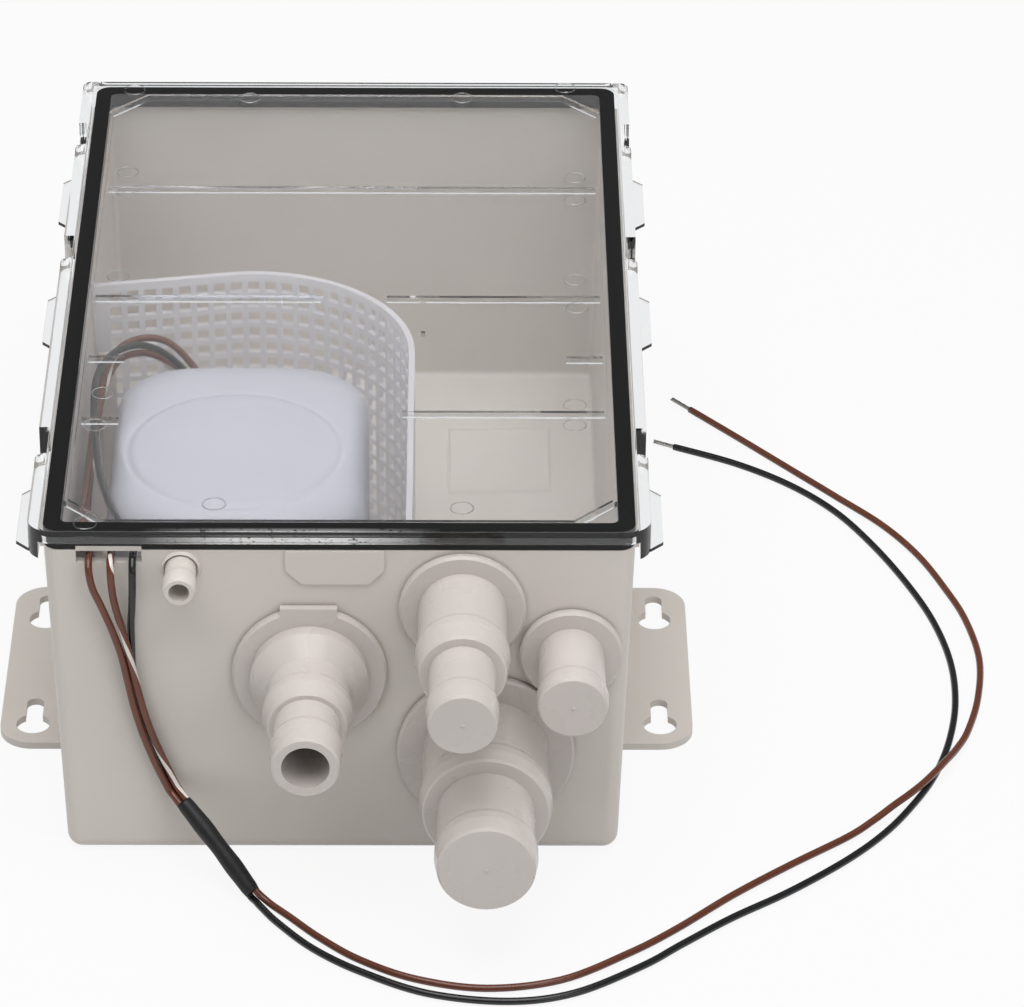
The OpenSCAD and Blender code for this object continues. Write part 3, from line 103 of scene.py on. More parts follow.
def piece(name, points, faces, material, body, uv=None):
    """Puts arrays of points and faces into a mesh object that rides on one CAD body."""
    mesh = bpy.data.meshes.new(name)
    mesh.from_pydata(np.asarray(points).tolist(), [], [list(map(int, f)) for f in faces])
    mesh.update()
    mesh.shade_smooth()
    if uv is not None:
        layer = mesh.uv_layers.new(name="along")
        whole = np.zeros((len(mesh.loops), 2))
        whole[: len(uv)] = uv
        layer.data.foreach_set("uv", whole.ravel())
    mesh.materials.append(material)
    thing = bpy.data.objects.new(name, mesh)
    bpy.context.scene.collection.objects.link(thing)
    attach(thing, body)
    return thing


open_faces, closed_faces = grid_faces(3, 4, False), grid_faces(3, 4, True)
print("faces on 3 rows of 4 points:", len(open_faces), "open,", len(closed_faces), "closed")

# %% [markdown]
# ## Nodes and colours
# Each finish below is a small tree of shader nodes. One function adds a node, sets it and links
# what feeds it, so a tree reads from top to bottom. Colours are written as sRGB hex values, as
# a colour picker shows them, and turned to the linear values that the renderer adds up.

# %% Helpers for finishes
def linear(hex_colour):
    """sRGB to linear: below 0.04045 divide by 12.92, above it ((c + 0.055) / 1.055) to the power 2.4."""
    c = np.array([int(hex_colour[i : i + 2], 16) for i in (1, 3, 5)]) / 255
    return (*np.where(c <= 0.04045, c / 12.92, ((c + 0.055) / 1.055) ** 2.4).tolist(), 1.0)


def add(tree, kind, inputs=None, **settings):
    """Adds one shader node; inputs maps its sockets to values or to the sockets that feed them. Where
    sockets share a name they go by number: a Mix takes its share at 0 and two colours at 6 and 7, and
    a MapRange takes a value at 0, the range it comes from at 1 and 2, the range it goes to at 3 and 4."""
    node = tree.nodes.new("ShaderNode" + kind)
    for key, value in settings.items():
        setattr(node, key, value)
    for key, value in (inputs or {}).items():
        if isinstance(value, bpy.types.NodeSocket):
            tree.links.new(value, node.inputs[key])
        else:
            node.inputs[key].default_value = value
    return node


def finish(name):
    """A new material: its tree, emptied, with an output to feed."""
    material = bpy.data.materials.new(name)
    material.use_nodes = True
    tree = material.node_tree
    tree.nodes.clear()
    return material, tree, tree.nodes.new("ShaderNodeOutputMaterial")


print("half grey #808080 in linear light:", round(linear("#808080")[0], 3))

# %% [markdown]
# Moulded plastic is never one flat shade. It sets in soft patches, takes a fine grain from the
# steel of the mould, and shines a little more in one place than in the next. Two noises give all
# three, and light is let spread a few millimetres under the skin, as it does in pale plastic.

# %% Moulded plastic
NOISE_LOW, NOISE_HIGH = 0.3, 0.7
SHINY_SHARE, DULL_SHARE = 0.85, 1.2
GRAIN_STRENGTH = 0.25
PLASTIC_IOR = 1.46
SPREAD_M = (0.004, 0.0035, 0.003)


def moulded(name, shade, light_shade, roughness, patch_mm, grain_mm, grain_depth, subsurface=0.0):
    """Two close shades in soft patches, a roughness that follows them, and a fine grain in relief."""
    material, tree, out = finish(name)
    place = add(tree, "TexCoord").outputs["Object"]
    patches = add(tree, "TexNoise", {"Vector": place, "Scale": 1 / (patch_mm * MM), "Detail": 3.0})
    grain = add(tree, "TexNoise", {"Vector": place, "Scale": 1 / (grain_mm * MM), "Detail": 2.0})
    colour = add(tree, "Mix", {0: patches.outputs["Fac"], 6: linear(shade), 7: linear(light_shade)},
                 data_type="RGBA")
    shine = add(tree, "MapRange", {0: patches.outputs["Fac"], 1: NOISE_LOW, 2: NOISE_HIGH,
                                   3: roughness * SHINY_SHARE, 4: roughness * DULL_SHARE})
    relief = add(tree, "Bump", {"Height": grain.outputs["Fac"], "Strength": GRAIN_STRENGTH,
                                "Distance": grain_depth * MM})
    shader = add(tree, "BsdfPrincipled", {
        "Base Color": colour.outputs[2], "Roughness": shine.outputs[0], "IOR": PLASTIC_IOR,
        "Normal": relief.outputs[0], "Subsurface Weight": subsurface,
        "Subsurface Radius": SPREAD_M, "Subsurface Scale": 1.0})
    tree.links.new(shader.outputs[0], out.inputs["Surface"])
    return material


# name, shade, lighter shade, roughness, patch and grain in mm, depth of the grain in mm
shrink_sleeve = moulded("heat_shrink_polyolefin", "#131314", "#1d1e20", 0.5, 6.0, 1.2, 0.1)
print("first finish:", shrink_sleeve.name)

# %% [markdown]
# ## Finishes of the leads
# The leads are stranded copper in PVC. PVC insulation is drawn hot through a die, which leaves it
# even and satin, with one soft streak of light along its top. One of the three leads has
# a pale stripe that runs along it, which the UV map places: u is the share of a turn.

# %% PVC insulation
BROWN_PVC, BROWN_PVC_LIGHT = "#54291a", "#6a3a27"
BLACK_PVC, BLACK_PVC_LIGHT = "#101113", "#1a1b1e"
STRIPE, STRIPE_SHARE = "#d8d2cb", 0.17
PVC_ROUGHNESS, PVC_IOR = 0.24, 1.53
DRIFT_MM = 9.0
TWIST_MM = 46.0


def insulation(name, shade, light_shade, stripe_share=0.0):
    """Drawn PVC with a faint drift of shade. A stripe takes up a share of a turn and winds once round
    in TWIST_MM, because a lead is twisted a little as it is laid."""
    material, tree, out = finish(name)
    parts = add(tree, "SeparateXYZ", {0: add(tree, "UVMap", uv_map="along").outputs[0]})
    turns = add(tree, "Math", {0: parts.outputs[1], 1: 1 / (TWIST_MM * MM)}, operation="MULTIPLY")
    wound = add(tree, "Math", {0: parts.outputs[0], 1: turns.outputs[0]}, operation="ADD")
    share = add(tree, "Math", {0: wound.outputs[0]}, operation="FRACT")
    striped = add(tree, "Math", {0: share.outputs[0], 1: stripe_share}, operation="LESS_THAN")
    place = add(tree, "TexCoord").outputs["Object"]
    drift = add(tree, "TexNoise", {"Vector": place, "Scale": 1 / (DRIFT_MM * MM), "Detail": 2.0})
    colour = add(tree, "Mix", {0: drift.outputs["Fac"], 6: linear(shade), 7: linear(light_shade)},
                 data_type="RGBA")
    both = add(tree, "Mix", {0: striped.outputs[0], 6: colour.outputs[2], 7: linear(STRIPE)},
               data_type="RGBA")
    shader = add(tree, "BsdfPrincipled", {"Base Color": both.outputs[2], "IOR": PVC_IOR,
                                          "Roughness": PVC_ROUGHNESS})
    tree.links.new(shader.outputs[0], out.inputs["Surface"])
    return material


brown_pvc = insulation("brown_pvc_insulation", BROWN_PVC, BROWN_PVC_LIGHT)
striped_pvc = insulation("striped_pvc_insulation", BROWN_PVC, BROWN_PVC_LIGHT, STRIPE_SHARE)
black_pvc = insulation("black_pvc_insulation", BLACK_PVC, BLACK_PVC_LIGHT)
print("one turn of the stripe takes", TWIST_MM, "mm")

# %% [markdown]
# Metals reflect in their own colour. The bare ends are tinned copper strands, which makes them grey
# instead of red, and inside the pump there are plated steel, stainless steel, copper and bronze.
# Handling and drawing leave fine marks, which break up the shine and leave the colour alone.

# %% Metals
SMOOTH_SHARE, ROUGH_SHARE = 0.7, 1.4


def metal(name, shade, roughness, streak_mm):
    """Metal whose fine marks change only how rough it is, and never its colour."""
    material, tree, out = finish(name)
    place = add(tree, "TexCoord").outputs["Object"]
    marks = add(tree, "TexNoise", {"Vector": place, "Scale": 1 / (streak_mm * MM), "Detail": 4.0})
    rough = add(tree, "MapRange", {0: marks.outputs["Fac"], 1: NOISE_LOW, 2: NOISE_HIGH,
                                   3: roughness * SMOOTH_SHARE, 4: roughness * ROUGH_SHARE})
    shader = add(tree, "BsdfPrincipled", {"Base Color": linear(shade), "Metallic": 1.0,
                                          "Roughness": rough.outputs[0]})
    tree.links.new(shader.outputs[0], out.inputs["Surface"])
    return material


# name, shade, roughness, size of the marks in mm
tinned_copper = metal("tinned_copper_strands", "#b9b8b6", 0.3, 2.0)
zinc_steel = metal("zinc_plated_steel", "#b4b7bb", 0.32, 0.8)
stainless = metal("stainless_steel", "#c2c3c4", 0.24, 0.8)
copper = metal("enamelled_copper", "#b0673a", 0.35, 0.5)
bronze = metal("sintered_bronze", "#a97b45", 0.45, 0.4)
print("metals:", tinned_copper.name, zinc_steel.name, stainless.name, copper.name, bronze.name)

# %% [markdown]
# ## Leads as tubes along curves
# A lead is a circle carried along a curve. The curve goes through given points and leaves
# each one in line with its neighbours (a Catmull-Rom curve), which is how a springy
# wire bends: no corners, and never tighter than it likes. The points are the CAD model's own.

# %% Curve and tube
def curve(points, steps):
    """Catmull-Rom: between two points, the cubic whose ends run in line with the neighbouring points."""
    p = np.asarray(points, float)
    q = np.vstack([p[:1], p, p[-1:]])
    a, b, c, d = (v[:, None, :] for v in (q[:-3], q[1:-2], q[2:-1], q[3:]))
    t = (np.arange(steps) / steps)[None, :, None]
    s = 0.5 * (2 * b + (c - a) * t + (2 * a - 5 * b + 4 * c - d) * t**2 + (3 * b - a - 3 * c + d) * t**3)
    return np.vstack([s.reshape(-1, 3), p[-1:]])


def distance_along(path):
    """Running length of a path, from 0 at its first point."""
    return np.concatenate([[0.0], np.cumsum(np.linalg.norm(np.diff(path, axis=0), axis=1))])


def square_frames(path, reference=(0.3, 0.2, 1.0)):
    """Two directions square to the path at every point: the part of a fixed direction that is square
    to the heading, and the cross product of the heading with it."""
    heading = np.gradient(path, axis=0)
    heading /= np.linalg.norm(heading, axis=1, keepdims=True)
    across = np.asarray(reference) - (heading @ np.asarray(reference))[:, None] * heading
    across /= np.linalg.norm(across, axis=1, keepdims=True)
    return across, np.cross(heading, across)


def tube(path, radius, sides):
    """Points, faces and UV of a round tube: P + r (cos a U + sin a V), with a flat face at each end."""
    across, beside = square_frames(path)
    a = 2 * np.pi * np.arange(sides) / sides
    r = np.broadcast_to(radius, len(path))[:, None, None]
    points = path[:, None, :] + r * (np.cos(a)[None, :, None] * across[:, None, :]
                                     + np.sin(a)[None, :, None] * beside[:, None, :])
    faces = grid_faces(len(path), sides, True).tolist()
    first = list(range(sides))[::-1]
    last = [(len(path) - 1) * sides + k for k in range(sides)]
    return points.reshape(-1, 3), faces + [first, last], grid_uv(distance_along(path), sides)


bend = curve([(0, 0, 0), (1, 0, 0), (1, 1, 0)], 8)
print("a bend over 3 points becomes", len(bend), "points,", round(distance_along(bend)[-1], 3), "long")

# %% [markdown]
# ## The routes
# Three leads leave the slot under the lid, fall down the front wall and meet in the sleeve that
# covers their joints. Two supply wires go on from there: along the floor, past the hose ends, and
# back beside the box, where both end bare. Both lie on the floor, and one passes over the other.

# %% Wires and sleeve
WIRE_D, SLEEVE_D, TIP_D = 2.4, 5.2, 1.5
SNUG = 0.1
SLEEVE_FROM = np.array([-50.5, -157, 24.2])
SLEEVE_TO = np.array([-28.2, -177, 3.2])
sleeve_dir = (SLEEVE_TO - SLEEVE_FROM) / np.linalg.norm(SLEEVE_TO - SLEEVE_FROM)
sleeve_up = np.array([0, 0, 1.0]) - sleeve_dir[2] * sleeve_dir
sleeve_up /= np.linalg.norm(sleeve_up)
sleeve_right = np.cross(sleeve_dir, sleeve_up)


def sleeve_point(end, side, along):
    """Where a wire goes in at a sleeve end: at an angle from its top, some way along it."""
    a = np.radians(side)
    ring = (WIRE_D / np.sqrt(3) + SNUG) * (np.cos(a) * sleeve_up + np.sin(a) * sleeve_right)
    return (end + along * sleeve_dir + ring).tolist()


print("sleeve is", round(float(np.linalg.norm(SLEEVE_TO - SLEEVE_FROM)), 1), "mm long")

# %% Routes of the three leads in millimetres, as in the CAD model
BROWN_LEAD = [
    [-78.2, -150, 112.4], [-78.2, -152.4, 112.4], [-78, -155.2, 110], [-77, -156, 104.5],
    [-74.6, -155.8, 98], [-71.4, -155.4, 88.5], [-68.9, -154.9, 79], [-67.4, -154.6, 70.5],
    [-65.4, -154.5, 59], [-63, -154.4, 49], [-60.2, -154.3, 40], [-57.4, -154.2, 32.4],
    [-55.2, -154.8, 27.6], sleeve_point(SLEEVE_FROM, 98, -2.5), sleeve_point(SLEEVE_FROM, 98, 0)]
STRIPED_LEAD = [
    [-71.4, -150, 112.4], [-71.4, -152.4, 112.4], [-71.3, -155, 110], [-71, -155.8, 104.5],
    [-70.2, -155.6, 98], [-68.2, -155.2, 88.5], [-66.4, -154.9, 79], [-64.9, -154.6, 70.5],
    [-62.7, -154.5, 59], [-60.1, -154.5, 49], [-57, -154.4, 40], [-54.7, -153.9, 33.4],
    [-53, -154.3, 29.2], sleeve_point(SLEEVE_FROM, -22, -2.5), sleeve_point(SLEEVE_FROM, -22, 0)]
BLACK_LEAD = [
    [-64.5, -150, 112.4], [-64.5, -152.2, 112.4], [-64.5, -154.8, 110], [-64.6, -155.2, 104.5],
    [-65, -154.2, 97], [-65.6, -152.9, 89], [-65.7, -152.1, 81], [-65.6, -151.9, 72],
    [-64.2, -151.8, 61], [-61.8, -151.7, 50], [-58.8, -151.6, 40.4], [-56.2, -151.6, 33],
    [-54.7, -151.9, 28.2], sleeve_point(SLEEVE_FROM, -142, -2.5), sleeve_point(SLEEVE_FROM, -142, 0)]
print("points of the leads:", len(BROWN_LEAD), len(STRIPED_LEAD), len(BLACK_LEAD))

# %% Routes of the two supply wires
BROWN_SUPPLY = [
    sleeve_point(SLEEVE_TO, -21, 0), sleeve_point(SLEEVE_TO, -21, 1.2),
    [-24.6, -179.2, 2.5], [-21.6, -182, 1.6], [-16.4, -187.6, 1.5],
    [-6, -199.4, 1.5], [6.7, -210.8, 1.5], [24, -220.6, 1.5], [46, -225.4, 1.5], [69.5, -221, 1.5],
    [90.7, -207.2, 1.5], [106, -194.4, 1.5], [125, -175.8, 1.5], [144, -159.4, 1.5],
    [163.4, -143.9, 1.6], [172, -136.2, 2.5], [179.4, -129, 3.8], [184.6, -123.4, 4.1],
    [189.4, -117.4, 4.1], [193.8, -111, 4.1], [198.2, -103.4, 3.7], [202.6, -94.6, 2.5],
    [207.4, -82.6, 1.6], [212.4, -62.6, 1.5], [214.8, -38.4, 1.5], [212, -14, 1.5],
    [206.6, 5.6, 1.5], [198.6, 27.6, 1.5], [187.4, 47.6, 1.5], [172.1, 66.8, 1.5], [155.6, 87, 1.5],
    [138.9, 107.4, 1.5], [122.1, 127.5, 1.5]]
BLACK_SUPPLY = [
    sleeve_point(SLEEVE_TO, 159, 0), sleeve_point(SLEEVE_TO, 159, 1.2),
    [-27, -179.6, 1.4], [-25.4, -182.4, 1.4], [-19.8, -191, 1.4],
    [-8.4, -204.6, 1.4], [6.7, -216.6, 1.4], [28, -228, 1.4], [52.9, -232, 1.4], [73.7, -227.6, 1.4],
    [95, -213.6, 1.4], [108, -202, 1.4], [124.2, -188, 1.4], [143.4, -173.6, 1.4], [162.6, -156.4, 1.4],
    [176.2, -140.8, 1.4], [186.6, -124.4, 1.4], [194.6, -108, 1.4], [200.8, -88, 1.4],
    [204.6, -65, 1.4], [204.8, -40, 1.4], [200.6, -14, 1.4], [192.8, 11, 1.4], [182.6, 35.6, 1.4],
    [171, 57, 1.4], [156, 74.8, 1.4], [137.4, 89.4, 1.4], [115.3, 101.2, 1.4]]
print("points of the supply wires:", len(BROWN_SUPPLY), len(BLACK_SUPPLY))

# %% [markdown]
# Behind the slot the same three leads go on through the box. They lie under the lid along its
# left side, arch over beside the pump and go down into the grommet in its back.

# %% Routes of the leads in the box
BROWN_INSIDE = [
    [-49, 7, 74], [-49, 9.6, 74], [-51.4, 16, 79.6], [-60, 19.5, 89], [-68, 18, 93],
    [-76, 11, 94.5], [-81, 0, 93.5], [-83.4, -16, 90], [-84.4, -38, 87.5], [-84.6, -64, 87],
    [-84.4, -90, 90], [-82.6, -112, 98], [-80, -130, 107], [-78.4, -141, 111.8],
    [-78.2, -145.5, 112.4], [-78.2, -150, 112.4]]
STRIPED_INSIDE = [
    [-52.6, 7, 72], [-52.6, 9.4, 72], [-56.2, 14.6, 77.6], [-64, 16.5, 85.6], [-71.6, 13.6, 89.6],
    [-78.4, 5, 91], [-82.2, -9, 88.6], [-83.6, -28, 85.2], [-84, -50, 83.6], [-84, -72, 84],
    [-82.6, -94, 88.4], [-79, -115, 96.6], [-74.4, -132, 105.8], [-71.7, -141.5, 111.4],
    [-71.4, -145.5, 112.4], [-71.4, -150, 112.4]]
BLACK_INSIDE = [
    [-52.4, 7, 76], [-52.4, 9.2, 76], [-56, 12.6, 83], [-64, 12.4, 91], [-72, 7, 96.4],
    [-79.6, -4, 99], [-83.6, -20, 99.6], [-83.4, -42, 99.4], [-81.4, -64, 99.4], [-78.4, -86, 100.6],
    [-74, -107, 103], [-69.2, -125, 106.8], [-65.4, -138, 111.2], [-64.6, -142.5, 112.2],
    [-64.5, -146, 112.4], [-64.5, -150, 112.4]]
print("points of the leads in the box:", len(BROWN_INSIDE), len(STRIPED_INSIDE), len(BLACK_INSIDE))

# %% [markdown]
# Each lead becomes one smooth tube that stands in for the coarser lead of the CAD model. Sixteen
# sides are enough for something 2.4 mm thick, and eight steps between two points of its route
# leave no corner that the eye could find.

# %% Leads in the box
LEAD_SIDES = 16
CURVE_STEPS = 8


def lead(name, route, material, node):
    """A lead of the wire's diameter along a route, in place of the CAD model's own."""
    path = curve(route, CURVE_STEPS) * MM
    points, faces, uv = tube(path, WIRE_D / 2 * MM, LEAD_SIDES)
    thing = piece(name, points, faces, material, "sump", uv)
    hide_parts(node)
    print(name, "length in mm:", round(distance_along(path)[-1] / MM))
    return thing, path


lead("brown_lead_in_box", BROWN_INSIDE, brown_pvc, "brown_lead_inside")
lead("striped_lead_in_box", STRIPED_INSIDE, striped_pvc, "striped_lead_inside")
lead("black_lead_in_box", BLACK_INSIDE, black_pvc, "black_lead_inside")

# %% [markdown]
# The sleeve is a tube too, but its radius changes along it: it is widest over the soldered joints
# and draws in at both mouths, where it grips the wires.

# %% Sleeve
SLEEVE_RINGS, SLEEVE_SIDES = 48, 28
LOOSE_MM = 0.15
JOINT_BULGE_MM = 0.3
JOINTS = [(0.3, 0.13), (0.72, 0.14)]
MOUTH_MM, MOUTH_DRAW_MM = 1.2, 0.25
SAG_MM = 0.5

share = np.linspace(0, 1, SLEEVE_RINGS)
straight = SLEEVE_FROM + share[:, None] * (SLEEVE_TO - SLEEVE_FROM)
sleeve_path = (straight + (SAG_MM * np.sin(np.pi * share))[:, None] * sleeve_up) * MM
bulge = sum(np.exp(-((share - at) / spread) ** 2) for at, spread in JOINTS)
from_mouth = np.minimum(share, 1 - share) * np.linalg.norm(SLEEVE_TO - SLEEVE_FROM) / MOUTH_MM
sleeve_r = SLEEVE_D / 2 + LOOSE_MM + JOINT_BULGE_MM * bulge - MOUTH_DRAW_MM * np.exp(-from_mouth**2)
points, faces, uv = tube(sleeve_path, sleeve_r * MM, SLEEVE_SIDES)
sleeve = piece("shrink_sleeve_skin", points, faces, shrink_sleeve, "sump", uv)
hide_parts("splice_sleeve")
print("sleeve is", np.round(2 * sleeve_r.min(), 1), "to", np.round(2 * sleeve_r.max(), 1), "mm thick")

# %% [markdown]
# A stripped end shows seven tinned strands, six laid round one. Each outer strand is a tube along
# a helix, the middle one is straight, and they end a little unevenly, as cut strands do.

# %% Bare ends
STRANDS = 6
STRAND_D = 0.5
LAY_MM = 16.0
BURIED_MM = 1.0
STRAND_RINGS, STRAND_SIDES = 24, 8
FRAYED_RINGS = 3
BROWN_TIP_MM, BLACK_TIP_MM = 10.2, 8.2


def bare_end(name, route, length_mm, node):
    """Six helices and one straight strand past the end of a route, in line with its last stretch."""
    start = np.asarray(route[-1], float)
    ahead = start - np.asarray(route[-2], float)
    ahead /= np.linalg.norm(ahead)
    s = np.linspace(-BURIED_MM, length_mm, STRAND_RINGS)
    core = start[None] + s[:, None] * ahead[None]
    across, beside = square_frames(core)
    points, faces = [], []
    for k in range(STRANDS + 1):
        ring_r = 0 if k == STRANDS else (TIP_D - STRAND_D) / 2
        a = 2 * np.pi * (k / STRANDS + s / LAY_MM)
        path = core + ring_r * (np.cos(a)[:, None] * across + np.sin(a)[:, None] * beside)
        path = path[: STRAND_RINGS - k % FRAYED_RINGS]
        strand_points, strand_faces, _ = tube(path * MM, STRAND_D / 2 * MM, STRAND_SIDES)
        faces += [[i + sum(map(len, points)) for i in face] for face in strand_faces]
        points.append(strand_points)
    thing = piece(name, np.vstack(points), faces, tinned_copper, "sump")
    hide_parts(node)
    return thing


brown_strands = bare_end("brown_bare_strands", BROWN_SUPPLY, BROWN_TIP_MM, "brown_wire_end")
black_strands = bare_end("black_bare_strands", BLACK_SUPPLY, BLACK_TIP_MM, "black_wire_end")
print("bare ends:", BROWN_TIP_MM, "and", BLACK_TIP_MM, "mm, of", STRANDS + 1, "strands each")

# %% [markdown]
# The leads outside the box are drawn the same way, as tubes along their routes. Three hang
# from the slot into the sleeve, and two lie loose from the sleeve to their bare ends.

# %% Three leads into the sleeve
for name, route, material, node in [
        ("brown_lead_skin", BROWN_LEAD, brown_pvc, "brown_lead"),
        ("striped_lead_skin", STRIPED_LEAD, striped_pvc, "striped_lead"),
        ("black_lead_skin", BLACK_LEAD, black_pvc, "black_lead")]:
    thing, path = lead(name, route, material, node)

# %% Two supply wires out of it
for name, route, material, node, tip in [
        ("brown_supply_skin", BROWN_SUPPLY, brown_pvc, "brown_supply_wire", brown_strands),
        ("black_supply_skin", BLACK_SUPPLY, black_pvc, "black_supply_wire", black_strands)]:
    thing, path = lead(name, route, material, node)

# %% [markdown]
# ## Finishes of the box
# The box and its fittings are injection-moulded ABS in a warm putty grey: an even, low
# sheen, soft highlights, and a very slight cloudiness. The finest mould texture is too small for
# this distance, so its grain is drawn at 0.9 mm.

# %% Box, fittings and pump finishes
# name, shade, lighter shade, roughness, patch and grain in mm, depth of the grain in mm, subsurface
putty_abs = moulded("putty_grey_abs", "#cbc4bd", "#d2ccc6", 0.36, 40.0, 0.9, 0.03, 0.05)
fitting_abs = moulded("glossy_putty_grey_abs", "#c0b9b4", "#c9c2be", 0.27, 26.0, 0.9, 0.02, 0.08)
pump_abs = moulded("bluish_white_abs", "#b1b1ba", "#b9b9c1", 0.34, 30.0, 0.9, 0.02, 0.1)
nylon_black = moulded("black_glass_filled_nylon", "#1a1b1d", "#26272a", 0.45, 8.0, 0.6, 0.05)
acetal_blue = moulded("blue_acetal", "#34608f", "#3d6a9a", 0.35, 10.0, 0.8, 0.02)
float_foam = moulded("cream_closed_cell_foam", "#ddd3bb", "#ebe2cd", 0.8, 4.0, 0.8, 0.15)
black_epdm = moulded("black_epdm_rubber", "#151617", "#222326", 0.6, 5.0, 0.6, 0.06)
print("materials so far:", len(bpy.data.materials))

# %% [markdown]
# The gasket is foam rubber, pressed between rim and lid. Its front edge has picked up pale
# dust in a broken streak, so the dust is a product of masks: four say how near a point is to that
# stretch of edge, along the three axes, and a coarse noise breaks it up.

# %% Gasket with a dusty streak
SPONGE, SPONGE_LIGHT, DUST = "#0a0a0b", "#151517", "#dcdcda"
PORE_MM, SPECK_MM = 0.9, 1.6
DUST_X, DUST_FADE = (-0.062, 0.032), 0.03
DUST_Y = (-0.1492, -0.1478)
DUST_Z = (0.1176, 0.1184)
DUST_BREAKS = (0.36, 0.44)
PORE_STRENGTH, PORE_DEPTH_MM = 0.2, 0.05
SPONGE_ROUGHNESS, SPONGE_SHINE = 0.5, 0.3

gasket_rubber, tree, out = finish("epdm_sponge_with_dust")
place = add(tree, "TexCoord").outputs["Object"]
at = add(tree, "SeparateXYZ", {0: place}).outputs
pores = add(tree, "TexNoise", {"Vector": place, "Scale": 1 / (PORE_MM * MM), "Detail": 3.0})
specks = add(tree, "TexNoise", {"Vector": place, "Scale": 1 / (SPECK_MM * MM), "Detail": 4.0,
                                "Roughness": 0.7})
dust = add(tree, "MapRange", {0: specks.outputs["Fac"], 1: DUST_BREAKS[0], 2: DUST_BREAKS[1]})
for value, low, high, start, end in [
        (at[0], DUST_X[0], DUST_X[0] + DUST_FADE, 0.0, 1.0),
        (at[0], DUST_X[1] - DUST_FADE, DUST_X[1], 1.0, 0.0),
        (at[1], *DUST_Y, 1.0, 0.0),
        (at[2], *DUST_Z, 0.0, 1.0)]:
    near = add(tree, "MapRange", {0: value, 1: low, 2: high, 3: start, 4: end})
    dust = add(tree, "Math", {0: dust.outputs[0], 1: near.outputs[0]}, operation="MULTIPLY")
rubber = add(tree, "Mix", {0: pores.outputs["Fac"], 6: linear(SPONGE), 7: linear(SPONGE_LIGHT)},
             data_type="RGBA")
shade = add(tree, "Mix", {0: dust.outputs[0], 6: rubber.outputs[2], 7: linear(DUST)}, data_type="RGBA")
relief = add(tree, "Bump", {"Height": pores.outputs["Fac"], "Strength": PORE_STRENGTH,
                            "Distance": PORE_DEPTH_MM * MM})
shader = add(tree, "BsdfPrincipled", {
    "Base Color": shade.outputs[2], "Roughness": SPONGE_ROUGHNESS,
    "Specular IOR Level": SPONGE_SHINE, "Normal": relief.outputs[0]})
tree.links.new(shader.outputs[0], out.inputs["Surface"])
print("dust streak in mm from the middle:", [round(x / MM) for x in DUST_X])

# %% [markdown]
# The mesh is natural polyethylene, thin enough to let light and shapes through. Light that
# goes in spreads and comes out on the other side (Translucent), a little goes straight through
# (Transparent), and the skin has a soft sheen.

# %% Strainer finish
MESH_SHADE, MESH_LIGHT, MESH_THROUGH = "#f1eff2", "#f7f5f8", "#f4f4f6"
CLOUD_MM = 14.0
GLOW_SHARE, CLEAR_SHARE = 0.46, 0.24
PE_IOR, PE_ROUGHNESS = 1.51, 0.4

natural_pe, tree, out = finish("natural_polyethylene")
place = add(tree, "TexCoord").outputs["Object"]
cloud = add(tree, "TexNoise", {"Vector": place, "Scale": 1 / (CLOUD_MM * MM), "Detail": 3.0})
shade = add(tree, "Mix", {0: cloud.outputs["Fac"], 6: linear(MESH_SHADE), 7: linear(MESH_LIGHT)},
            data_type="RGBA")
skin = add(tree, "BsdfPrincipled", {"Base Color": shade.outputs[2], "Roughness": PE_ROUGHNESS,
                                    "IOR": PE_IOR})
through = add(tree, "BsdfTranslucent", {"Color": linear(MESH_THROUGH)})
glow = add(tree, "MixShader", {0: GLOW_SHARE, 1: skin.outputs[0], 2: through.outputs[0]})
clear = add(tree, "BsdfTransparent", {"Color": (1, 1, 1, 1)})
sheer = add(tree, "MixShader", {0: CLEAR_SHARE, 1: glow.outputs[0], 2: clear.outputs[0]})
tree.links.new(sheer.outputs[0], out.inputs["Surface"])
print("mesh lets", CLEAR_SHARE, "of the light straight through")

# %% [markdown]
# The lid is moulded from clear polycarbonate. Real glass shading bends the view of what is
# behind it and catches bright lines along every rib and edge. Lamps would have to find their way
# through it by chance, so shadow rays pass it as if it were open. They lose a third at each
# surface, which leaves the inside of the box as dim as it is under the real lid.

# %% Lid finish
LID_IOR, LID_TINT = 1.49, "#f7f8f9"
HAZE_MM = 60.0
LID_ROUGHNESS = (0.015, 0.05)
LIGHT_PASSED = 0.64

polycarbonate, tree, out = finish("clear_polycarbonate")
place = add(tree, "TexCoord").outputs["Object"]
haze = add(tree, "TexNoise", {"Vector": place, "Scale": 1 / (HAZE_MM * MM), "Detail": 2.0})
dull = add(tree, "MapRange", {0: haze.outputs["Fac"], 1: NOISE_LOW, 2: NOISE_HIGH,
                              3: LID_ROUGHNESS[0], 4: LID_ROUGHNESS[1]})
glass = add(tree, "BsdfPrincipled", {"Base Color": linear(LID_TINT), "Roughness": dull.outputs[0],
                                     "IOR": LID_IOR, "Transmission Weight": 1.0})
open_air = add(tree, "BsdfTransparent", {"Color": (LIGHT_PASSED, LIGHT_PASSED, LIGHT_PASSED, 1)})
ray = add(tree, "LightPath")
lit = add(tree, "MixShader", {0: ray.outputs["Is Shadow Ray"], 1: glass.outputs[0],
                              2: open_air.outputs[0]})
tree.links.new(lit.outputs[0], out.inputs["Surface"])
print("each surface of the lid passes", LIGHT_PASSED, "of a lamp's light")

# %% [markdown]
# Every rigid piece of the CAD model gets the finish of what it is made of in such a pump. The
# impeller, the motor and the float are out of sight until someone takes the housing off.

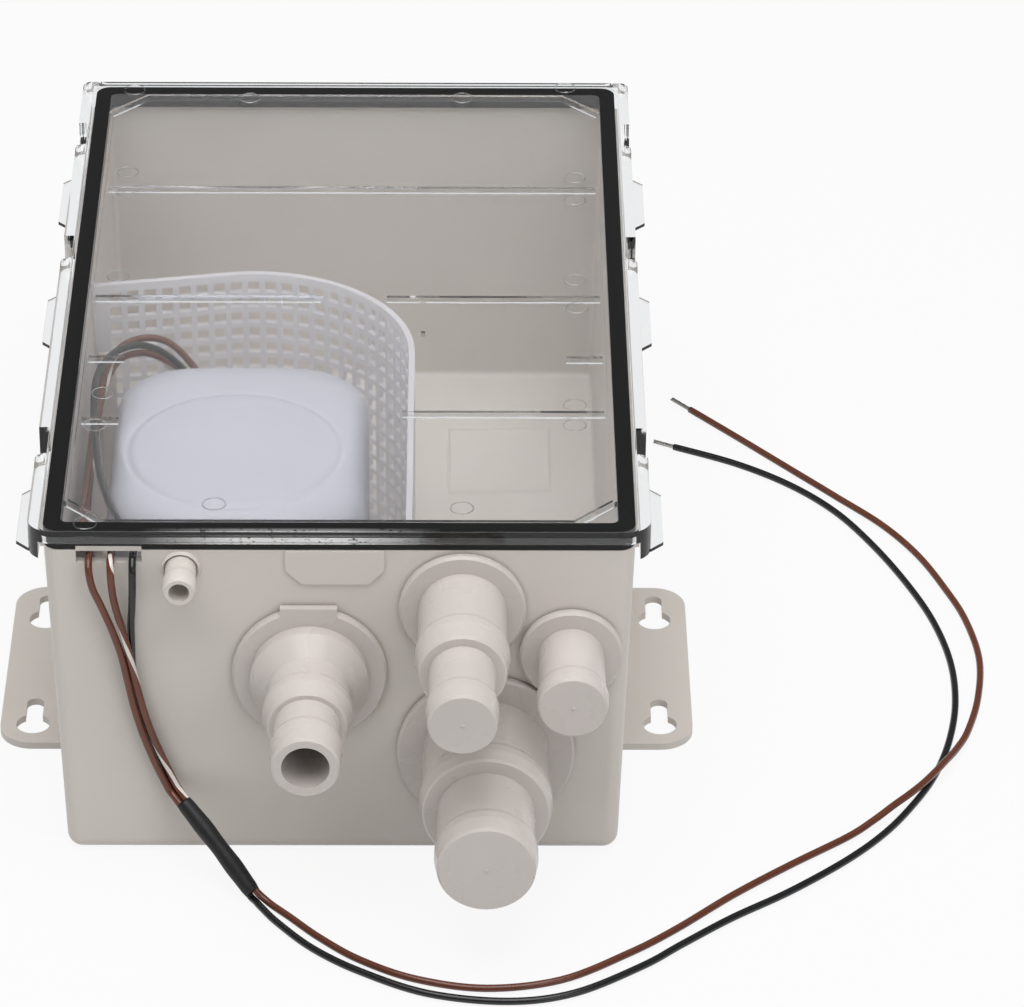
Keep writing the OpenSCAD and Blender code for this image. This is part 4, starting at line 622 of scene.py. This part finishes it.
# %% Give every CAD node its finish
FINISHES = {
    putty_abs: ["sump_box", "discharge_elbow"],
    fitting_abs: ["large_inlet", "medium_inlet", "small_inlet", "discharge_fitting"],
    polycarbonate: ["lid"],
    gasket_rubber: ["lid_gasket"],
    natural_pe: ["strainer_screen"],
    pump_abs: ["inlet_plate", "pump_volute", "pump_housing", "motor_end_cap"],
    nylon_black: ["pump_base", "motor_magnets", "motor_brushes", "float_switch"],
    acetal_blue: ["impeller"],
    float_foam: ["pump_float"],
    black_epdm: ["large_inlet_washer", "medium_inlet_washer", "small_inlet_washer",
                 "discharge_washer", "check_flap", "shaft_seal", "lead_grommet", "outlet_hose"],
    zinc_steel: ["motor_can", "base_screws"],
    stainless: ["flap_pin", "motor_shaft", "float_pin", "hose_clamps"],
    copper: ["motor_rotor"],
    bronze: ["lower_bush", "upper_bush"],
}
for material, names in FINISHES.items():
    for name in names:
        nodes[name].data.materials.clear()
        nodes[name].data.materials.append(material)
print("finished nodes:", sum(map(len, FINISHES.values())))

# %% [markdown]
# ## The dome of the pump
# The pump's housing is a soft block. Its plan is a rounded rectangle at the foot and an oval at
# the top, and every column of points swings from one to the other along a quarter of
# an ellipse, so no edge is left anywhere. The oval face stands a little proud, behind a soft crease.

# %% Foot of the dome
PUMP_X, PLAN_Y = -35.0, -52.5
PUMP_W, PUMP_L, PUMP_R = 84.0, 111.0, 24.0
RING = 192


def rounded_outline(count):
    """A rectangle with round corners, by angle: a point beyond both corner centres is pulled in to
    the corner's circle, and every other point lies on a straight side."""
    a = 2 * np.pi * (np.arange(count) + 0.5) / count
    half_w, half_l = PUMP_W / 2 - PUMP_R, PUMP_L / 2 - PUMP_R
    reach = 1 / np.maximum(np.abs(np.cos(a)) * 2 / PUMP_W, np.abs(np.sin(a)) * 2 / PUMP_L)
    x, y = reach * np.cos(a), reach * np.sin(a)
    dx, dy = np.abs(x) - half_w, np.abs(y) - half_l
    inside = (dx > 0) & (dy > 0)
    length = np.where(inside, np.hypot(dx, dy), 1)
    x = np.where(inside, np.sign(x) * (half_w + dx * PUMP_R / length), x)
    y = np.where(inside, np.sign(y) * (half_l + dy * PUMP_R / length), y)
    return np.stack([PUMP_X + x, PLAN_Y + y], -1), a


foot, foot_angles = rounded_outline(RING)
print("foot:", np.round(np.ptp(foot, axis=0), 1), "mm in", RING, "points")

# %% [markdown]
# From the foot a column of points goes straight up the wall, swings in to the oval, dips into the
# crease and ends on the face. The swing is a quarter of an ellipse, which meets both the wall and
# the oval without a corner, and its drop follows how far the column has to travel.

# %% Dome
PUMP_LOW, FOOT_RISE = 32.5, 0.4
OVAL_X, OVAL_Y, OVAL_Z = -36.0, -65.5, 98.8
OVAL_HALF_W, OVAL_HALF_L = 36.0, 37.0
DROP_SHARE, DROP_MM = 1.2, (9.0, 15.0)
EVENED = 6
SWING_RINGS, SWING_EASE = 27, 1.15
SHELL_MM = 2.4
# shares of the oval and rises in mm above it: a groove, a soft step and a face that is barely domed
FACE = [(0.99, -0.12), (0.975, -0.1), (0.96, 0.15), (0.94, 0.62), (0.92, 0.92), (0.89, 1.08),
        (0.8, 1.2), (0.65, 1.3), (0.4, 1.4), (0.15, 1.45)]


def dome_points(foot, a):
    """Rings from the foot up the wall, along the quarter ellipse, over the crease and to the middle.
    The ellipse drops in proportion to the way from foot to oval, evened out between neighbours."""
    centre = np.array([OVAL_X, OVAL_Y])
    oval = centre + np.stack([OVAL_HALF_W * np.cos(a), OVAL_HALF_L * np.sin(a)], -1)
    span = np.linalg.norm(foot - oval, axis=1)
    span = sum(np.roll(span, k) for k in range(-EVENED, EVENED + 1)) / (2 * EVENED + 1)
    drop = np.clip(DROP_SHARE * span, *DROP_MM)
    rings = [np.column_stack([foot, np.full(RING, z)]) for z in (PUMP_LOW, PUMP_LOW + FOOT_RISE)]
    for swing in np.linspace(0, np.pi / 2, SWING_RINGS):
        plan = foot + (1 - np.cos(swing)) ** SWING_EASE * (oval - foot)
        rings.append(np.column_stack([plan, OVAL_Z - drop * (1 - np.sin(swing))]))
    for scale, rise in FACE:
        plan = centre + scale * (oval - centre)
        rings.append(np.column_stack([plan, np.full(RING, OVAL_Z + rise)]))
    return np.array(rings)


grid = dome_points(foot, foot_angles)
faces = grid_faces(len(grid), RING, True).tolist()
faces.append([(len(grid) - 1) * RING + k for k in range(RING)])
dome = piece("pump_dome_shell", grid.reshape(-1, 3) * MM, faces, pump_abs, "sump")
wall = dome.modifiers.new("wall", "SOLIDIFY")
wall.thickness = SHELL_MM * MM
wall.offset = -1
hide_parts("pump_housing")
print("dome rings:", len(grid), "top at", round(float(grid[:, :, 2].max()), 2), "mm")

# %% [markdown]
# ## Marks of the mould
# A lid this large is pushed out of its mould by pins, and each pin leaves a faint ring. Each ring is
# a small torus in the clear plastic. Their places were read off the photo and put on the top.

# %% Ejector rings in the lid
LID_TOP_MM = 123.0
RING_R, RING_TUBE = 3.6, 0.22
RING_STEPS, TUBE_STEPS = 40, 8
RING_PIXELS = np.array([
    (135, 90), (565, 88), (250, 98), (462, 98), (128, 172), (128, 192), (575, 178), (575, 200),
    (118, 276), (575, 280), (577, 308), (103, 393), (95, 425), (575, 405), (575, 425), (214, 504),
    (462, 508), (85, 523)], float)


def on_height(pixels, height_mm):
    """Where the camera's rays through these pixels meet a level plane."""
    x = (pixels[:, :1] - IMAGE_W / 2) / FOCAL_PX
    y = (pixels[:, 1:] - IMAGE_H / 2) / FOCAL_PX
    rays = forward[None] + x * right[None] + y * down[None]
    far = (height_mm * MM - CAMERA_AT[2]) / rays[:, 2:]
    return CAMERA_AT[None] + far * rays


def ring_marks(name, centres, radius, tube_r, material, body):
    """Tori round the centres: centre + (R + r cos b) (cos a, sin a) + r sin b up. Each torus is a
    grid that is closed both ways, so its first row of points is counted again as its last."""
    a = 2 * np.pi * np.arange(RING_STEPS) / RING_STEPS
    b = 2 * np.pi * np.arange(TUBE_STEPS) / TUBE_STEPS
    out = radius + tube_r * np.cos(b)[None, :]
    rise = np.tile(tube_r * np.sin(b), (RING_STEPS, 1))
    torus = np.stack([out * np.cos(a)[:, None], out * np.sin(a)[:, None], rise], -1)
    points = centres[:, None, None, :] + torus[None] * MM
    count = RING_STEPS * TUBE_STEPS
    quads = grid_faces(RING_STEPS + 1, TUBE_STEPS, True) % count
    faces = (quads[None] + (np.arange(len(centres)) * count)[:, None, None]).reshape(-1, 4)
    return piece(name, points.reshape(-1, 3), faces[:, ::-1], material, body)


ring_centres = on_height(RING_PIXELS, LID_TOP_MM)
pin_marks = ring_marks("lid_ejector_rings", ring_centres, RING_R, RING_TUBE, polycarbonate, "lid")
print("ejector rings:", len(ring_centres))

# %% [markdown]
# The floor of the box carries a plain rectangular field with a low ridge round it. The ridge is a
# half-round section carried round the outline, and its corners were placed by the same rays
# through the photo as the rings of the lid.

# %% Plain field on the floor
FLOOR_MM = 3.0
FIELD_PIXELS = np.array([(449, 433), (548, 431), (551, 494), (449, 496)], float)
RIDGE_W, RIDGE_H, RIDGE_SUNK = 1.1, 0.55, 0.02
FIELD_STEPS, RIDGE_POINTS = 24, 9


def ridge_round(name, corners, width, height, material, body):
    """Half a circle, squashed to width and height, set up along the straight lines between corners."""
    share = np.arange(FIELD_STEPS)[:, None] / FIELD_STEPS
    after = np.roll(corners, -1, axis=0)
    path = np.vstack([a + share * (b - a) for a, b in zip(corners, after)])
    away = path - path.mean(axis=0)
    away[:, 2] = 0
    away /= np.linalg.norm(away, axis=1, keepdims=True)
    b = np.linspace(0, np.pi, RIDGE_POINTS)
    up = np.array([0, 0, 1.0])
    points = (path[:, None, :] + (width / 2 * np.cos(b))[None, :, None] * away[:, None, :] * MM
              + (height * np.sin(b) - RIDGE_SUNK)[None, :, None] * up * MM)
    closed = np.concatenate([points, points[:1]])
    faces = grid_faces(len(closed), RIDGE_POINTS, False)
    return piece(name, closed.reshape(-1, 3), faces, material, body)


corners = on_height(FIELD_PIXELS, FLOOR_MM)
field = ridge_round("bare_label_field", corners, RIDGE_W, RIDGE_H, putty_abs, "sump")
print("corners of the field in mm:", np.round(corners / MM, 1).tolist())

# %% [markdown]
# The blind ends of the inlets show where the plastic was injected: a small raised gate scar in
# the middle of each face, drawn here as a low cross.

# %% Gate scars on the blind ends
GATES = {"large": (46.0, -216.8, 40.4), "medium": (38.5, -217.1, 94.4), "small": (72.8, -182.2, 77.4)}
SCAR_HALF, SCAR_POINTS = 2.2, 33
SCAR_H, SCAR_SUNK = 0.34, 0.06
LINE_HALF_W, UP_HALF_L, SIDE_HALF_L = 0.28, 1.3, 0.9


def gate_scar(name, centre):
    """A low cross of two ridges: the height falls off with the distance from both middle lines."""
    s = np.linspace(-SCAR_HALF, SCAR_HALF, SCAR_POINTS)
    x, z = np.meshgrid(s, s, indexing="ij")
    upright = np.exp(-(x / LINE_HALF_W) ** 2) * np.exp(-(z / UP_HALF_L) ** 4)
    level = np.exp(-(z / LINE_HALF_W) ** 2) * np.exp(-(x / SIDE_HALF_L) ** 4)
    height = SCAR_H * np.minimum(upright + level, 1) - SCAR_SUNK
    points = np.stack([x + centre[0], centre[1] - height, z + centre[2]], -1).reshape(-1, 3) * MM
    return piece(name, points, grid_faces(SCAR_POINTS, SCAR_POINTS, False), fitting_abs, "sump")


for size, centre in GATES.items():
    gate_scar(size + "_inlet_gate_scar", centre)
print("gate scars:", len(GATES))

# %% [markdown]
# ## Floor, light and air
# The photo has a plain white ground. The floor here is white paper that takes the object's
# shadow; seen by the camera, in a reflection or through the lid, part of its shade is a plain
# white that needs no lamp, so the lamps stay low enough for the plastic to keep its colour.

# %% Floor
HALF_FLOOR, FLOOR_DROP = 6.0, 0.0002
PAPER = "#cccccc"
WHITE_SHARE = 0.9

s = np.array([-HALF_FLOOR, HALF_FLOOR])
x, y = np.meshgrid(s, s, indexing="ij")
paper, tree, out = finish("white_paper_ground")
ray = add(tree, "LightPath").outputs
seen = add(tree, "Math", {0: ray["Is Camera Ray"], 1: ray["Is Glossy Ray"]}, operation="MAXIMUM")
seen = add(tree, "Math", {0: seen.outputs[0], 1: ray["Is Transmission Ray"]}, operation="MAXIMUM")
weight = add(tree, "Math", {0: seen.outputs[0], 1: WHITE_SHARE}, operation="MULTIPLY")
matt = add(tree, "BsdfDiffuse", {"Color": linear(PAPER)})
white = add(tree, "Emission", {"Color": (1, 1, 1, 1), "Strength": 1.0})
ground = add(tree, "MixShader", {0: weight.outputs[0], 1: matt.outputs[0], 2: white.outputs[0]})
tree.links.new(ground.outputs[0], out.inputs["Surface"])
mesh = bpy.data.meshes.new("floor")
mesh.from_pydata(np.stack([x, y, 0 * x - FLOOR_DROP], -1).reshape(-1, 3).tolist(), [], [[0, 2, 3, 1]])
mesh.materials.append(paper)
floor = bpy.data.objects.new("floor", mesh)
bpy.context.scene.collection.objects.link(floor)
print("floor:", 2 * HALF_FLOOR, "m wide")

# %% [markdown]
# The air round the object is white where the camera looks straight at it or through the lid. It
# lights the object at half that strength, and a mirror image of it is darker still, because a clear
# lid under a bright sky would lie like a veil over everything in the box.

# %% World
AIR_SEEN, AIR_LIGHT, AIR_MIRRORED = 1.0, 0.5, 0.2

world = bpy.data.worlds.new("studio")
world.use_nodes = True
bpy.context.scene.world = world
tree = world.node_tree
tree.nodes.clear()
air = tree.nodes.new("ShaderNodeOutputWorld")
ray = add(tree, "LightPath").outputs
seen = add(tree, "Math", {0: ray["Is Camera Ray"], 1: ray["Is Transmission Ray"]}, operation="MAXIMUM")
unseen = add(tree, "MapRange", {0: ray["Is Glossy Ray"], 1: 0.0, 2: 1.0, 3: AIR_LIGHT, 4: AIR_MIRRORED})
dim = add(tree, "Background", {"Color": (1, 1, 1, 1), "Strength": unseen.outputs[0]})
bright = add(tree, "Background", {"Color": (1, 1, 1, 1), "Strength": AIR_SEEN})
both = add(tree, "MixShader", {0: seen.outputs[0], 1: dim.outputs[0], 2: bright.outputs[0]})
tree.links.new(both.outputs[0], air.inputs["Surface"])
print("air:", AIR_SEEN, "seen,", AIR_LIGHT, "as light,", AIR_MIRRORED, "mirrored")

# %% [markdown]
# Two soft lamps do the rest. The big one above gives the even light and the soft shadow under the
# wires, and a weak one from the right of the camera rounds the barbs.

# %% Lamps
def softbox(name, at, look_at, size, watts):
    """A square area lamp that looks at a point; a big one close by gives soft edges to shadows."""
    data = bpy.data.lights.new(name, "AREA")
    data.shape = "SQUARE"
    data.size = size
    data.energy = watts
    lamp = bpy.data.objects.new(name, data)
    bpy.context.scene.collection.objects.link(lamp)
    lamp.location = at
    lamp.rotation_euler = (Vector(look_at) - Vector(at)).to_track_quat("-Z", "Y").to_euler()
    return lamp


softbox("top", at=(0.0, -0.4, 1.6), look_at=(0, 0, 0.05), size=1.4, watts=23.0)
softbox("front", at=(1.2, -1.7, 0.9), look_at=(0, -0.1, 0.05), size=1.0, watts=5.0)
print("lamps:", len(bpy.data.lights))

# %% [markdown]
# At the end the scene is brought up to date. The dressed pieces have to agree in size with the
# CAD model, since they stand in for solids that other parts fit to.

# %% Bring the scene up to date
bpy.context.view_layer.update()
